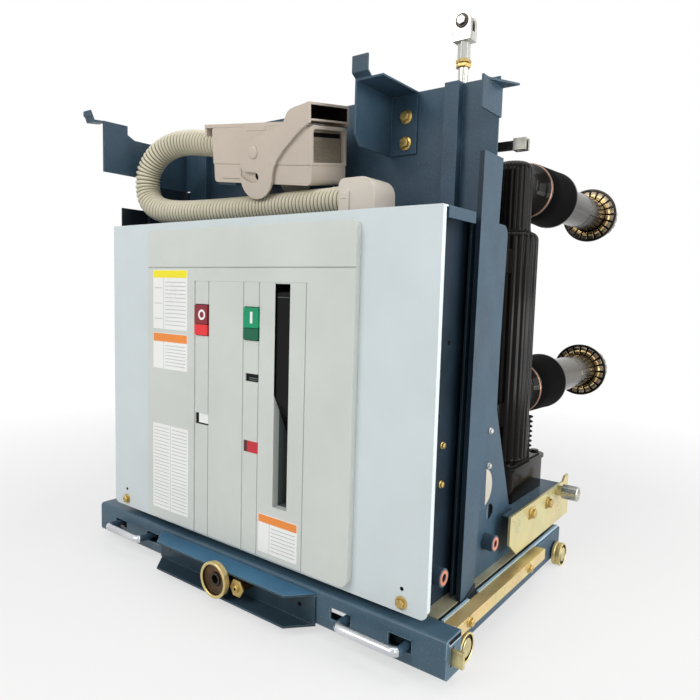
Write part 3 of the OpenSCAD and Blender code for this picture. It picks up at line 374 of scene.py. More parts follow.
class Form:
    """A mesh being built from points in millimetres, with a material number a face.

    mark is the number that the next faces get, and pick(row) gives it row by row in a loft.
    """

    def __init__(self, frame_matrix=None):
        self.points = []
        self.faces = []
        self.marks = []
        self.mark = 0
        self.frame = frame_matrix
        self.pick = None

    def point(self, p):
        self.points.append(self.frame @ (Vector(p) * MM) if self.frame else at(*p))
        return len(self.points) - 1

    def face(self, *corners):
        """A face of point numbers, with the mark of the moment."""
        self.faces.append(corners)
        self.marks.append(self.mark)

    def loft(self, rings, loop=False):
        """Skins rings of points, closed at both ends, or end to end with loop."""
        rows = [[self.point(p) for p in ring] for ring in rings]
        pairs = list(zip(rows, rows[1:])) + ([(rows[-1], rows[0])] if loop else [])
        count = len(rows[0])
        for row, (a, b) in enumerate(pairs):
            if self.pick:
                self.mark = self.pick(row)
            for k in range(count):
                self.face(a[k], a[(k + 1) % count], b[(k + 1) % count], b[k])
        if not loop:
            self.face(*rows[0])
            self.face(*rows[-1])

    def prism(self, axis, outline, low, high):
        self.loft([[lift(axis, p, along) for p in outline] for along in (low, high)])

    def box(self, lo, hi):
        self.prism("z", [(lo[0], lo[1]), (hi[0], lo[1]), (hi[0], hi[1]), (lo[0], hi[1])],
                   lo[2], hi[2])

    def frame_prism(self, axis, outer, inner, low, high):
        """A prism with a hole: both outlines have the same number of points."""
        self.loft([[lift(axis, p, along) for p in line] for line, along in
                   ((outer, low), (outer, high), (inner, high), (inner, low))], loop=True)

    def turned(self, axis, centre, profile, sides, wave=None, loop=False):
        """A profile of (place along the axis, radius) turned about the axis."""
        rings = []
        for index, (along, radius) in enumerate(profile):
            ring = []
            for k in range(sides):
                angle = 2 * math.pi * k / sides
                r = radius - (wave(angle, index) if wave else 0)
                ring.append(self.polar(axis, centre, along, max(r, 0.01), angle))
            rings.append(ring)
        self.loft(rings, loop=loop)

    @staticmethod
    def polar(axis, centre, along, radius, angle):
        """A point at an angle round an axis through the centre."""
        a, b = radius * math.cos(angle), radius * math.sin(angle)
        x, y, z = centre
        return {"x": (x + along, y + a, z + b), "y": (x + a, y + along, z + b),
                "z": (x + a, y + b, z + along)}[axis]

    def sector(self, axis, centre, profile, middle, half, steps):
        """A closed profile turned through a small angle, such as one contact finger."""
        rings = []
        for k in range(steps + 1):
            angle = middle + half * (2 * k / steps - 1)
            rings.append([self.polar(axis, centre, along, radius, angle)
                          for along, radius in profile])
        self.loft(rings)

    def swept(self, path, radii, sides, steep=0.98):
        """A tube of points square to a path, with a radius at each point."""
        line = [Vector(p) for p in path]
        side = Vector((0, 0, 1))
        rings = []
        for k, here in enumerate(line):
            ahead = line[min(k + 1, len(line) - 1)] - line[max(k - 1, 0)]
            ahead.normalize()
            if abs(ahead.dot(side)) > steep:
                side = Vector((0, 1, 0))
            u = (side - ahead * side.dot(ahead)).normalized()
            side = u
            v = ahead.cross(u)
            rings.append([here + radii[k] * (math.cos(t) * u + math.sin(t) * v)
                          for t in (2 * math.pi * s / sides for s in range(sides))])
        self.loft(rings)

    def hexagon(self, axis, centre, across, low, high, turn, chamfer=0.8):
        """A six-sided head with its outer corners taken off at the high end."""
        r = across / math.sqrt(3)
        lean = chamfer if high > low else -chamfer
        rings = [[self.polar(axis, centre, along, radius, turn + math.pi * k / 3)
                  for k in range(6)]
                 for along, radius in ((low, r), (high - lean, r), (high, r - chamfer))]
        self.loft(rings)

    def bolt(self, axis, centre, out, across, head, washer, turn=0.3):
        """A hexagon bolt on a washer, standing out of a face at centre towards out (1, -1)."""
        self.turned(axis, centre, [(0, washer), (1.2 * out, washer), (1.5 * out, washer - 0.5)],
                    28)
        self.hexagon(axis, centre, across, 1.5 * out, (1.5 + head) * out, turn)
        self.turned(axis, centre, [((1.4 + head) * out, across * 0.36),
                                   ((1.8 + head) * out, across * 0.33)], 20)


def smooth(mesh, angle):
    """Smooth shading that keeps the edges sharper than an angle."""
    mesh.shade_smooth()
    mesh.set_sharp_from_angle(angle=math.radians(angle))


def rounded_edges(obj, width, angle, weld=False):
    """Rounds edges with a bevel. A CAD mesh is first welded and its flat triangles joined."""
    if weld:
        join = obj.modifiers.new("weld", "WELD")
        join.merge_threshold = WELD
        flat = obj.modifiers.new("flat", "DECIMATE")
        flat.decimate_type = "DISSOLVE"
        flat.angle_limit = math.radians(1)
    bevel = obj.modifiers.new("edges", "BEVEL")
    bevel.width = width * MM
    bevel.segments = 2
    bevel.limit_method = "ANGLE"
    bevel.angle_limit = math.radians(angle)
    bevel.harden_normals = True


def piece(form, name, skins, body="root", bevel=0.0, angle=32, replaces=()):
    """Makes an object of a form, finishes its edges and puts it on its body."""
    mesh = bpy.data.meshes.new(name)
    mesh.from_pydata([tuple(p) for p in form.points], [], form.faces)
    skins = skins if isinstance(skins, (list, tuple)) else [skins]
    for material in skins:
        mesh.materials.append(material)
    mesh.polygons.foreach_set("material_index", form.marks)
    work = bmesh.new()
    work.from_mesh(mesh)
    bmesh.ops.remove_doubles(work, verts=work.verts, dist=SAME_POINT)
    bmesh.ops.dissolve_degenerate(work, edges=work.edges, dist=NO_LENGTH)
    bmesh.ops.recalc_face_normals(work, faces=work.faces)
    work.to_mesh(mesh)
    work.free()
    smooth(mesh, angle)
    obj = bpy.data.objects.new(name, mesh)
    bpy.context.scene.collection.objects.link(obj)
    if bevel:
        rounded_edges(obj, bevel, angle)
    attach(obj, body)
    if replaces:
        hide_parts(*replaces)
    return obj


def dress(node, material, bevel=0.7, angle=30):
    """Gives a CAD node its finish and rounds its edges."""
    obj = NODES[node]
    obj.data.materials.clear()
    obj.data.materials.append(material)
    if "custom_normal" in obj.data.attributes:
        obj.data.attributes.remove(obj.data.attributes["custom_normal"])
    smooth(obj.data, angle)
    if bevel:
        rounded_edges(obj, bevel, angle, weld=True)


def second(node, material, wanted):
    """Gives a second finish to the CAD faces that wanted(normal, centre) picks."""
    mesh = NODES[node].data
    mesh.materials.append(material)
    turn = NODES[node].matrix_world
    for face in mesh.polygons:
        normal = turn.to_3x3() @ face.normal
        if wanted(normal, turn @ face.center):
            face.material_index = 1


# ---------------------------------------------------------------- conduit and plug

CONDUIT_R = 21.0
ROUTE = [(110, 70, 589), (70, 70, 589), (36, 70, 589), (-15, 70, 588.5), (-65, 67, 588),
         (-115, 62, 587.5), (-160, 57, 587.5), (-200, 53, 588.5), (-236, 49, 592),
         (-263, 46, 600), (-281, 45, 613), (-289, 45, 630), (-290, 45, 648),
         (-286, 46, 665), (-275, 48, 681), (-261, 51, 693), (-245, 55, 701),
         (-225, 59, 706), (-203, 63, 707), (-179, 67, 705), (-152, 70, 701),
         (-120, 74, 696), (-104, 76, 693)]
PITCH = 6.9
RIB = (0.0, 0.2, 0.9, 1.0, 0.9, 0.2)
RIB_DEEP = 2.7
SLEEVE_ROWS = 26


def spline(points, step, parts=24):
    """Points about step apart on a smooth curve through the given ones."""
    line = [Vector(p) for p in points]
    ends = [2 * line[0] - line[1]] + line + [2 * line[-1] - line[-2]]
    dense = []
    for a, b, c, d in zip(ends, ends[1:], ends[2:], ends[3:]):
        for k in range(parts):
            t = k / parts
            dense.append(0.5 * ((2 * b) + (c - a) * t + (2 * a - 5 * b + 4 * c - d) * t * t
                                + (3 * b - a - 3 * c + d) * t ** 3))
    dense.append(line[-1])
    out = [dense[0]]
    left = step
    for p, q in zip(dense, dense[1:]):
        span = (q - p).length
        done = 0.0
        while span - done >= left:
            done += left
            out.append(p.lerp(q, done / span))
            left = step
        left -= span - done
    if (out[-1] - dense[-1]).length > 0.3 * step:
        out.append(dense[-1])
    return out


def in_groove(row):
    """1 for a row of the conduit between two ribs, 0 on a rib."""
    return 1 if row % len(RIB) in (0, len(RIB) - 1) else 0


def sunk(row):
    """How deep a row of the conduit lies under the tops of its ribs."""
    return RIB_DEEP * (1 - RIB[row % len(RIB)])


conduit_line = spline(ROUTE, PITCH / len(RIB))
form = Form()
form.pick = in_groove
form.swept(conduit_line, [CONDUIT_R - sunk(k) for k in range(len(conduit_line))], 32)
conduit = piece(form, "conduit_tube", [CONDUIT, GROOVE], angle=70,
                replaces=["conduit"])

PLUG_AT = (-112, 40, 672.4)
PLUG_TURN = (Matrix.Translation(at(*PLUG_AT)) @ Matrix.Rotation(math.radians(6.3), 4, "Y")
             @ Matrix.Rotation(math.radians(9.2), 4, "X"))
PLUG_L, PLUG_W, PLUG_HALF = 206, 79, 40.5
PLUG_WALL, MOUTH_DEEP = 5, 10
STEP_Z, MOUTH_Z = -12.7, -9
LID_X, LID_T, LID_RIBS = (-17, 150), 5.5, 7
PIVOT = (96, 4.4)
CELLS, CELL_ROWS, CELL = 12, 5, 3.6
CHEEK_T, CHEEK_GAP = 4, 1

# The hood: its narrow foot, its body, its open end, its lid with a lip, two marks and the ribs
form = Form(PLUG_TURN)
form.prism("y", rounded((0.8, -PLUG_HALF), (PLUG_L - 0.8, STEP_Z), (6, 9, 1, 1)), 1, PLUG_W - 1)
form.prism("y", rounded((0, STEP_Z), (PLUG_L - MOUTH_DEEP, PLUG_HALF), (1, 1, 1, 4)), 0, PLUG_W)
form.frame_prism("x", rounded((0, STEP_Z), (PLUG_W, PLUG_HALF), (1, 1, 5, 5)),
                 rounded((PLUG_WALL, MOUTH_Z), (PLUG_W - PLUG_WALL, PLUG_HALF - PLUG_WALL),
                         (3, 3, 5, 5)), PLUG_L - MOUTH_DEEP - 0.5, PLUG_L)
form.box((LID_X[0], 0, PLUG_HALF), (LID_X[1], PLUG_W, PLUG_HALF + LID_T))
form.box((LID_X[0], 0, PLUG_HALF - 12), (LID_X[0] + 4, PLUG_W, PLUG_HALF))
form.prism("y", rounded((76, 35), (118, 43), 2), -0.8, 0.5)
form.box((20, -0.6, -34), (64, 1.2, -18))
for k in range(LID_RIBS):
    x = LID_X[1] + 2 + 6 * k
    form.box((x, 2, PLUG_HALF - 0.2), (x + 3, PLUG_W - 2, PLUG_HALF + 1.2))
hood = piece(form, "plug_hood", PLUG, bevel=1.1, replaces=["plug_body"])

form = Form(PLUG_TURN)
form.box((PLUG_L - 12, PLUG_WALL, MOUTH_Z),
         (PLUG_L - 6, PLUG_W - PLUG_WALL, PLUG_HALF - PLUG_WALL))
form.mark = 1
form.box((PLUG_L - 6.2, 9, PLUG_HALF - 15), (PLUG_L - 5.6, PLUG_W - 9, PLUG_HALF - 9))
form.mark = 0
for row in range(CELL_ROWS):
    for k in range(CELLS):
        y, z = 9 + 5.2 * k, -5 + 5.6 * row
        form.prism("x", rounded((y, z), (y + CELL, z + CELL), 0.8, 2), PLUG_L - 6.2, PLUG_L - 4.8)
piece(form, "plug_insert", [PLUG_DARK, HOLE], bevel=0.3)

PLUG_SIDES = ((0, -1), (PLUG_W, 1))
form = Form(PLUG_TURN)
for y, out in PLUG_SIDES:
    form.turned("y", (PIVOT[0] + 5, y, PIVOT[1] - 33.5), sided([(0, 5.6), (0.9, 5.6)], out), 24)
piece(form, "plug_side_holes", HOLE)

CHEEK = (arc((4, -34), 33.5, 205, 365, 14)
         + [(40.5, -21), (47, -11), (60.6, 3.2), (78, 18), (94, 30.6), (106, 37), (110.5, 39),
            (110.5, 66), (97, 62.6), (84, 60), (75, 57.4), (69, 53), (65.5, 47.5), (62, 41),
            (50.4, 36), (30, 28.6), (5, 21), (-22, 12.6), (-26.5, 10.5), (-29, 6), (-29.8, -8),
            (-28.6, -21), (-25.7, -24.6), (-20, -27), (-13.7, -28.2), (0.6, -28.6)]
         + arc((2.4, -36.2), 7.5, 86, -90, 8)
         + [(-6, -43.6), (-13, -42.8), (-22.7, -38.8), (-29, -34.6), (-31.5, -34.2)])
GRIP_SHELL = [(62, 42), (110.5, 42), (110.5, 44.5), (70, 44.5), (70, 50.5), (84, 57.2),
              (110.5, 62.8), (110.5, 66), (97, 62.6), (84, 60), (75, 57.4), (69, 53),
              (65.5, 47.5)]


def from_pivot(outline):
    """An outline round the bail's pivot, put in the plug's frame."""
    return [(PIVOT[0] + a, PIVOT[1] + b) for a, b in outline]


form = Form(PLUG_TURN)
for low in (-CHEEK_GAP - CHEEK_T, PLUG_W + CHEEK_GAP):
    form.prism("y", from_pivot(CHEEK), low, low + CHEEK_T)
form.prism("y", from_pivot(GRIP_SHELL), -CHEEK_GAP, PLUG_W + CHEEK_GAP)
bail = piece(form, "plug_bail", PLUG, "bail", bevel=1.0,
             replaces=["plug_lever"])

# Painted shade inside the grip: dark sheets on its end, its floor and its roof, then its two
# sides
form = Form(PLUG_TURN)
for outline in ([(70.3, 44.8), (84, 44.8), (84, 57), (70.3, 50.2)],
                [(83, 44.8), (109.3, 44.8), (109.3, 45.1), (83, 45.1)],
                [(83, 56.4), (109.3, 61.9), (109.3, 62.3), (83, 56.8)]):
    form.prism("y", from_pivot(outline), -0.9, PLUG_W + 0.9)
for low in (-0.9, PLUG_W + 0.6):
    form.prism("y", from_pivot([(83, 44.8), (109.3, 44.8), (109.3, 62), (83, 56.6)]), low,
               low + 0.3)
bail_shade_sheets = piece(form, "bail_shade_sheets", GRIP_SHADE, "bail")

BAIL_PIN = [(0, 4.4), (5.2, 4.4), (5.2, 9.4), (6.6, 9.0), (7.4, 7.6), (7.7, 5)]
form = Form(PLUG_TURN)
for y, out in PLUG_SIDES:
    form.turned("y", (PIVOT[0], y, PIVOT[1]), sided(BAIL_PIN, out), 40)
piece(form, "bail_pins", PLUG)

# The elbow on the shelf with its latch tab and ribbed sleeve
SHELF_TOP = 566
ELBOW_X = (138, 198)
ELBOW_Y = (45, 95)
form = Form()
form.prism("y", rounded((ELBOW_X[0], SHELF_TOP), (ELBOW_X[1], SHELF_TOP + 50), (1, 1, 22, 9)),
           *ELBOW_Y)
form.box((ELBOW_X[0] - 3, ELBOW_Y[0] + 4, SHELF_TOP),
         (ELBOW_X[1] + 4, ELBOW_Y[1] - 4, SHELF_TOP + 7))
form.prism("y", rounded((142, SHELF_TOP + 2), (158, SHELF_TOP + 34), (2, 2, 4, 4)), 42, 45.5)
form.box((145, 41.2, SHELF_TOP + 22), (155, 43, SHELF_TOP + 30))
piece(form, "elbow_body", ELBOW, bevel=3.0, replaces=["conduit_elbow"])

form = Form()
form.pick = in_groove
form.turned("x", ROUTE[0], [(k * PITCH / len(RIB), CONDUIT_R + 0.4 - sunk(k))
                            for k in range(SLEEVE_ROWS)], 40)
piece(form, "elbow_sleeve", [CONDUIT, GROOVE], angle=70)

# ---------------------------------------------------------------- front

BEZEL_FACE = -10
INSERT_FACE = -9.4
BUTTON_Z = (392, 438)
BUTTON_SPLIT = 409
OPEN_X, CLOSE_X = -77, 31
BUTTON_HALF = 14.5
BUTTON_FACE = -12
STEM_Y, STEM_R = (9, 40), 6.0

dress("front_cover", COVER, 0.9)
dress("cover_bezel", BEZEL, 0.7)
dress("lever_pocket", POCKET, 0.4)


def button(x, name, upper, lower, node, body, mark):
    """A push button in two colours, with its stem and its mark."""
    form = Form()
    form.prism("y", rounded((x - BUTTON_HALF, BUTTON_SPLIT), (x + BUTTON_HALF, BUTTON_Z[1]),
                            (1, 1, 2.2, 2.2)), BUTTON_FACE, 9)
    form.mark = 1
    form.prism("y", rounded((x - BUTTON_HALF, BUTTON_Z[0]), (x + BUTTON_HALF, BUTTON_SPLIT - 0.8),
                            (2.2, 2.2, 1, 1)), BUTTON_FACE, 10)
    form.turned("y", (x, 0, sum(BUTTON_Z) / 2), [(y, STEM_R) for y in STEM_Y], 24)
    form.mark = 2
    mark(form)
    piece(form, name, [upper, lower, MARK], body, bevel=0.6, replaces=[node])


def ring_mark(form):
    form.turned("y", (OPEN_X + 2.6, BUTTON_FACE, 423),
                [(0.2, 4.6), (-0.25, 4.6), (-0.25, 8.0), (0.2, 8.0)], 40, loop=True)


def bar_mark(form):
    form.box((CLOSE_X - 1.1, BUTTON_FACE - 0.25, 415.5), (CLOSE_X + 3.9, BUTTON_FACE + 0.2, 432))


button(OPEN_X, "open_cap", RED_DARK, RED, "open_button", "open_push", ring_mark)
button(CLOSE_X, "close_cap", GREEN, GREEN_DARK, "close_button", "close_push",
       bar_mark)

# Dark rims round the buttons' holes: painted shade in the gaps
form = Form()
for x in (OPEN_X, CLOSE_X):
    outer, inner = (rounded((x - BUTTON_HALF - gap, BUTTON_Z[0] - gap),
                            (x + BUTTON_HALF + gap, BUTTON_Z[1] + gap), 1) for gap in (0.9, 0.2))
    form.frame_prism("y", outer, inner, -8.5, 1)
piece(form, "button_shade_rims", BLACK)

# The charging lever: a wide blade whose front edge runs back to the pivot in its lower part
LEVER_X = (78.2, 101.8)
LEVER_PIN = (36, 188)
LEVER_TOP = 462
form = Form()
form.prism("x", [(-8, LEVER_TOP - 3), (-5, LEVER_TOP), (34, LEVER_TOP), (38, LEVER_TOP - 6),
                 (38, 298)] + arc(LEVER_PIN, 14, 15, -170, 12)
           + [(24, 236), (20, 250), (12, 270), (4, 287), (-2, 299), (-6, 308), (-8, 314)],
           *LEVER_X)
piece(form, "lever_blade", BLACK, "charger", bevel=1.0,
      replaces=["charging_lever"])
form = Form()
form.box((79.5, -8.2, 453.4), (100.5, -7.6, 454.2))
piece(form, "lever_lines", POCKET, "charger")

# Painted shade: a black sheet on the dark upper part of the pocket's left wall, and on its
# ceiling
POCKET_X, POCKET_TOP, POCKET_END = (76.6, 103.4), 473.6, 40
form = Form()
form.prism("x", [(-9.8, 318), (-9.8, POCKET_TOP), (POCKET_END, POCKET_TOP), (POCKET_END, 296),
                 (2, 296)], POCKET_X[0] - 0.05, POCKET_X[0] + 0.25)
form.box((POCKET_X[0], -6, POCKET_TOP - 0.8), (POCKET_X[1], POCKET_END, POCKET_TOP))
piece(form, "pocket_shade_sheet", BLACK)

# Each window's middle, width, foot and height
WINDOWS = ((-76.5, 29, 253.5, 17.5), (32, 25, 332, 11.5), (31, 28, 228.5, 17))


def window_box(form, number, lo_in, hi_in, front, back):
    """A box inside one window, held in from its left and lower edges and its right and upper."""
    x, w, z, h = WINDOWS[number]
    form.box((x - w / 2 + lo_in[0], front, z + lo_in[1]),
             (x + w / 2 - hi_in[0], back, z + h - hi_in[1]))


FLAG_X = WINDOWS[0][0]
form = Form()
for number in range(len(WINDOWS)):
    window_box(form, number, (0.1, 0.1), (0.1, 0.1), -7.6, 0)
# The black back left bare left of and below the first window's white card is painted recess
# shadow
form.mark = 1
window_box(form, 0, (7.4, 2.6), (0.2, 0.2), -8.3, -7.4)
form.box((FLAG_X - 2, -8.6, 261.6), (FLAG_X + 14.2, -8.2, 262.2))
form.mark = 2
window_box(form, 2, (6.5, 0.2), (0.2, 0.2), -8.3, -7.4)
# The flag's left part in a darker red: painted shadow
form.mark = 3
window_box(form, 2, (0.2, 0.2), (21.5, 0.2), -8.2, -7.4)
form.mark = 4
window_box(form, 1, (6, 4.6), (1.5, 5.6), -7.9, -7.4)
window_box(form, 1, (6, 2.0), (1.5, 8.6), -7.9, -7.4)
piece(form, "window_cards", [BLACK, MARK, FLAG, FLAG_SHADOW, POCKET],
      replaces=["indicator_windows"])


def card(name, x0, x1, z0, z1, face, header, header_z, divider, rules):
    """A blank label card with a coloured header band and ruled lines."""
    form = Form()
    form.prism("y", rounded((x0, z0), (x1, z1), 1.5, 3), face - 0.3, face + 0.2)
    if header:
        form.mark = 1
        form.box((x0 + 0.8, face - 0.42, header_z), (x1 - 0.8, face - 0.2, z1 - 0.8))
    form.mark = 2
    if divider:
        form.box((divider - 0.25, face - 0.4, z0 + 1), (divider + 0.25, face - 0.2, header_z))
    for lo, hi, z in rules:
        form.box((lo, face - 0.4, z - 0.35), (hi, face - 0.2, z + 0.35))
    piece(form, name, [CARD, header or CARD, RULE])


def lines(x0, x1, z0, z1, count):
    """Ruled lines spread evenly between two heights."""
    return [(x0, x1, z0 + (z1 - z0) * (k + 0.5) / count) for k in range(count)]


card("card_upper", -197, -111, 396, 490.5, BEZEL_FACE, YELLOW, 478, -170,
     lines(-166, -115, 400, 474, 12) + lines(-193, -174, 400, 474, 3))
card("card_lower", -197, -110.5, 331.5, 389.5, BEZEL_FACE, ORANGE, 375.5, -170,
     lines(-166, -115, 335, 372, 7))
card("card_table", -198, -108, 97, 239, BEZEL_FACE, None, 239, -152,
     lines(-195, -155, 100, 236, 24) + lines(-149, -111, 100, 236, 24))
card("card_right", 49.5, 124.5, 88, 144, INSERT_FACE, ORANGE, 132, 72,
     lines(75, 121, 91, 129, 7))

# Gold cover screws low on the cover, each with a small hole above it
SCREW_X, SCREW_Z, DOT_UP = 289, 85, 18
form = Form()
for side in SIDES:
    form.bolt("y", (side * SCREW_X, 0, SCREW_Z), -1, 11, 4.5, 8.5)
piece(form, "cover_screws", BOLT, bevel=0.3)
form = Form()
for side in SIDES:
    form.turned("y", (side * SCREW_X, 0, SCREW_Z + DOT_UP),
                [(0.3, 2.6), (-0.25, 2.6), (-0.3, 1.8)], 20)
piece(form, "cover_dots", HOLE)

# ---------------------------------------------------------------- housing and frames

NOSE_HIGH = 50 * MM
FORK_X = 329 * MM

dress("mechanism_box", PAINTED_SHADE_BLUE)
for node in ("side_frame_left", "side_frame_right", "back_plate", "top_shelf",
             "hook_bracket_left", "hook_bracket_right", "corner_hook", "truck_rails",
             "truck_crossbar", "guide_arms", "plug_rest"):
    dress(node, BLUE)
dress("girder_beam", GIRDER)
for node in ("rear_frame", "rear_platform", "platform_legs"):
    dress(node, REAR_BLUE)
dress("girder_nose", NOSE_SHADED, 0.8)
# The side frames' front faces get the darker copy: painted shade
for node in ("side_frame_left", "side_frame_right"):
    second(node, PAINTED_SHADE_BLUE, lambda normal, centre: normal.y < -0.9)
# The nose's upward faces get the lighter copy: painted light
second("girder_nose", NOSE_TOP_LIT, lambda normal, centre: normal.z > 0.9 and centre.z > NOSE_HIGH)
dress("corner_tab", DARK)
dress("base_plate", DECK)
dress("guide_rails", ZINC, 0.6)
dress("shutter_brackets", BRACKET, 0.6)
dress("pole_mounts", EPOXY, 1.5)
dress("rear_link", LINK, 0.6)
second("rear_link", FORK, lambda normal, centre: centre.x > FORK_X)
dress("racking_screw", SCREW, 0.4)
dress("lifting_bushes", BUSH, 0.8)
for node in ("shutter_roller_left", "shutter_roller_right"):
    dress(node, ALUMINIUM, 0.5)
for node in ("wheel_front_left", "wheel_front_right", "wheel_rear_left", "wheel_rear_right"):
    dress(node, ZINC, 0.6)

BOX_X, PANEL_X = 300, 310
BACK_Y = 150
# Places on both sides, as (y, z), with a radius for the small holes
SIDE_HOLES = ((48, 470, 4), (74, 403, 3.4), (54, 311, 3.4))
BOX_BOLTS = ((67, 272), (67, 221))
PANEL_SCREWS = ((191, 272), (191, 221))
RAIL_BOLTS = ((67, 54), (268, 53))
BRACKET_BOLTS = ((307, 125), (383, 122))
BUSHES = ((46, BOX_X + 22), (190, PANEL_X + 17))
BUSH_Z = 110
RAIL_X = 350
RING, VENT = (114, 97), (203, 150)
PLUG_DISC = arc((179, 189), 27.9, 0, 352, 44)
HALF_DISC = arc((178.5, 191), 27, -78, 78, 24)

# How the small holes, the ring, the vent and the bushes' faces stand out of a side
SMALL_HOLE = [(-0.3, 1.0), (0.25, 1.0), (0.3, 0.7)]
RING_OUT = [(0, 12), (0.8, 12), (1.2, 10.5), (1.2, 5.5), (0.4, 5)]
VENT_OUT = [(-1.5, 14), (-0.5, 14)]
BUSH_OUT = [(-0.3, 5.2), (0.4, 5.4), (0.4, 9.4), (-0.3, 9.8)]

holes, gold, chrome, discs, frames, faces = (Form() for _ in range(6))
for side in SIDES:
    for y, z, r in SIDE_HOLES:
        holes.turned("x", (side * BOX_X, y, z), [(side * a, r * b) for a, b in SMALL_HOLE], 20)
    for y, z in BOX_BOLTS:
        gold.bolt("x", (side * BOX_X, y, z), side, 7, 3, 5)
    for y, z in PANEL_SCREWS:
        chrome.bolt("x", (side * PANEL_X, y, z), side, 7, 2.6, 4.8)
    holes.turned("x", (side * BOX_X, *RING), sided(RING_OUT, side), 40)
    frames.prism("x", PLUG_DISC, side * (PANEL_X - 2.6), side * (PANEL_X + 0.1))
    discs.prism("x", HALF_DISC, side * (PANEL_X - 0.4), side * (PANEL_X + 0.5))
    holes.turned("x", (side * (PANEL_X - 3), *VENT), sided(VENT_OUT, side), 32)
    for y, face_x in BUSHES:
        faces.turned("x", (side * face_x, y, BUSH_Z), sided(BUSH_OUT, side), 36, loop=True)
    for y, z in RAIL_BOLTS:
        gold.bolt("x", (side * RAIL_X, y, z), side, 10, 4, 7.5)
piece(holes, "housing_holes", HOLE)
piece(gold, "side_bolts", BOLT, bevel=0.25)
piece(chrome, "panel_screws", STEEL)
piece(discs, "window_discs", DISC)
piece(frames, "window_plugs", BLUE)
piece(faces, "bush_faces", BUSH_FACE)

# ---------------------------------------------------------------- poles

POLES = ((-250, "left"), (0, "middle"), (250, "right"))
POLE_Y = 370
PLATFORM_Z = 132
BLOCK_TOP = 190
NECK_END = 424
ARM_Z = (646, 303)
SHOULDER = 570
POLE_TOP = 684
BODY_R, HEAD_R = 46, 32
LOBES = 24
# A pole's outline as (height, radius, depth of the grooves between its lobes), and the
# profiles of its necks from its axis to the rear
BODY = ([(BLOCK_TOP - 4, 47.5, 0.6), (BLOCK_TOP + 4, 46.4, 1.3), (BLOCK_TOP + 10, BODY_R, 1.5),
         (SHOULDER - 22, BODY_R, 1.5), (SHOULDER - 14, BODY_R - 0.2, 1.6)]
        + [(z, r, 2.0) for r, z in arc((BODY_R - 14, SHOULDER - 14), 14, 12, 80, 6)]
        + [(SHOULDER + 1, HEAD_R + 0.8, 1.2), (SHOULDER + 8, HEAD_R, 0.9),
           (POLE_TOP - 18, HEAD_R, 0.9)]
        + [(z, r, 1.2) for r, z in arc((HEAD_R - 16, POLE_TOP - 16), 16, 10, 84, 6)]
        + [(POLE_TOP, HEAD_R - 18, 0.6), (POLE_TOP, 6, 0)])
UPPER_NECK = [(0, 27), (22, 28), (30, 29.5), (37, 32), (43, 36), (48, 40.5), (51.5, 44.4),
              (53, 45.2), (54, 44.6), (54, 30)]
LOWER_NECK = [(0, 36), (36, 37), (44, 39), (49, 42), (52, 44.6), (53.2, 45.2), (54, 44.6),
              (54, 30)]

# A pole block's steps, as half its width and depth, its corners' radius, its foot and its top
BLOCK_STEPS = ((52, 78, 17, PLATFORM_Z, BLOCK_TOP - 6), (55, 81, 20, BLOCK_TOP - 6, BLOCK_TOP),
               (49, 74, 18, BLOCK_TOP - 1, BLOCK_TOP + 2.5))
BLOCK_SCREWS = ((-38, -64), (38, -64), (-38, 64), (38, 64))
RIDGES, RIDGE_PITCH = 5, 14
BEAD, BEADS, BEAD_PITCH = [(0, 1), (1, 3.6), (2.5, 4.6), (4.2, 3.6), (5.2, 1)], 8, 8.4

for x, side_name in POLES:
    form = Form()
    form.turned("z", (x, POLE_Y, 0), [(z, r) for z, r, _ in BODY], 192,
                wave=lambda a, i: BODY[i][2] * (1 - abs(math.cos(LOBES * a / 2))))
    for profile, z in zip((UPPER_NECK, LOWER_NECK), ARM_Z):
        form.turned("y", (x, POLE_Y, z), profile, 64)
    piece(form, "pole_body_" + side_name, EPOXY, angle=40,
          replaces=["pole_" + side_name])
    form = Form()
    for half_x, half_y, radius, low, high in BLOCK_STEPS:
        form.prism("z", rounded((x - half_x, POLE_Y - half_y), (x + half_x, POLE_Y + half_y),
                                radius), low, high)
    form.box((x - 14, POLE_Y + 38, BLOCK_TOP), (x + 14, POLE_Y + 60, ARM_Z[1] - 38))
    for k in range(RIDGES):
        z = BLOCK_TOP + 10 + RIDGE_PITCH * k
        form.prism("x", rounded((POLE_Y + 59, z), (POLE_Y + 63, z + 5), (1, 2, 2, 1), 3),
                   x - 11, x + 11)
    for out in SIDES:
        rib_x, rib_y = x + out * 36, POLE_Y + 27
        form.turned("z", (rib_x, rib_y, 0), [(BLOCK_TOP, 6.5), (ARM_Z[1] - 44, 5.5),
                                             (ARM_Z[1] - 40, 3)], 20)
        for k in range(BEADS):
            form.turned("z", (rib_x + out * 4.5, rib_y + 3, BLOCK_TOP + 8 + BEAD_PITCH * k),
                        BEAD, 16)
    for dx, dy in BLOCK_SCREWS:
        form.turned("z", (x + dx, POLE_Y + dy, BLOCK_TOP + 2),
                    [(0, 7.5), (3, 7.2), (3.6, 6.4)], 28)
    piece(form, "pole_block_" + side_name, EPOXY, bevel=1.4)

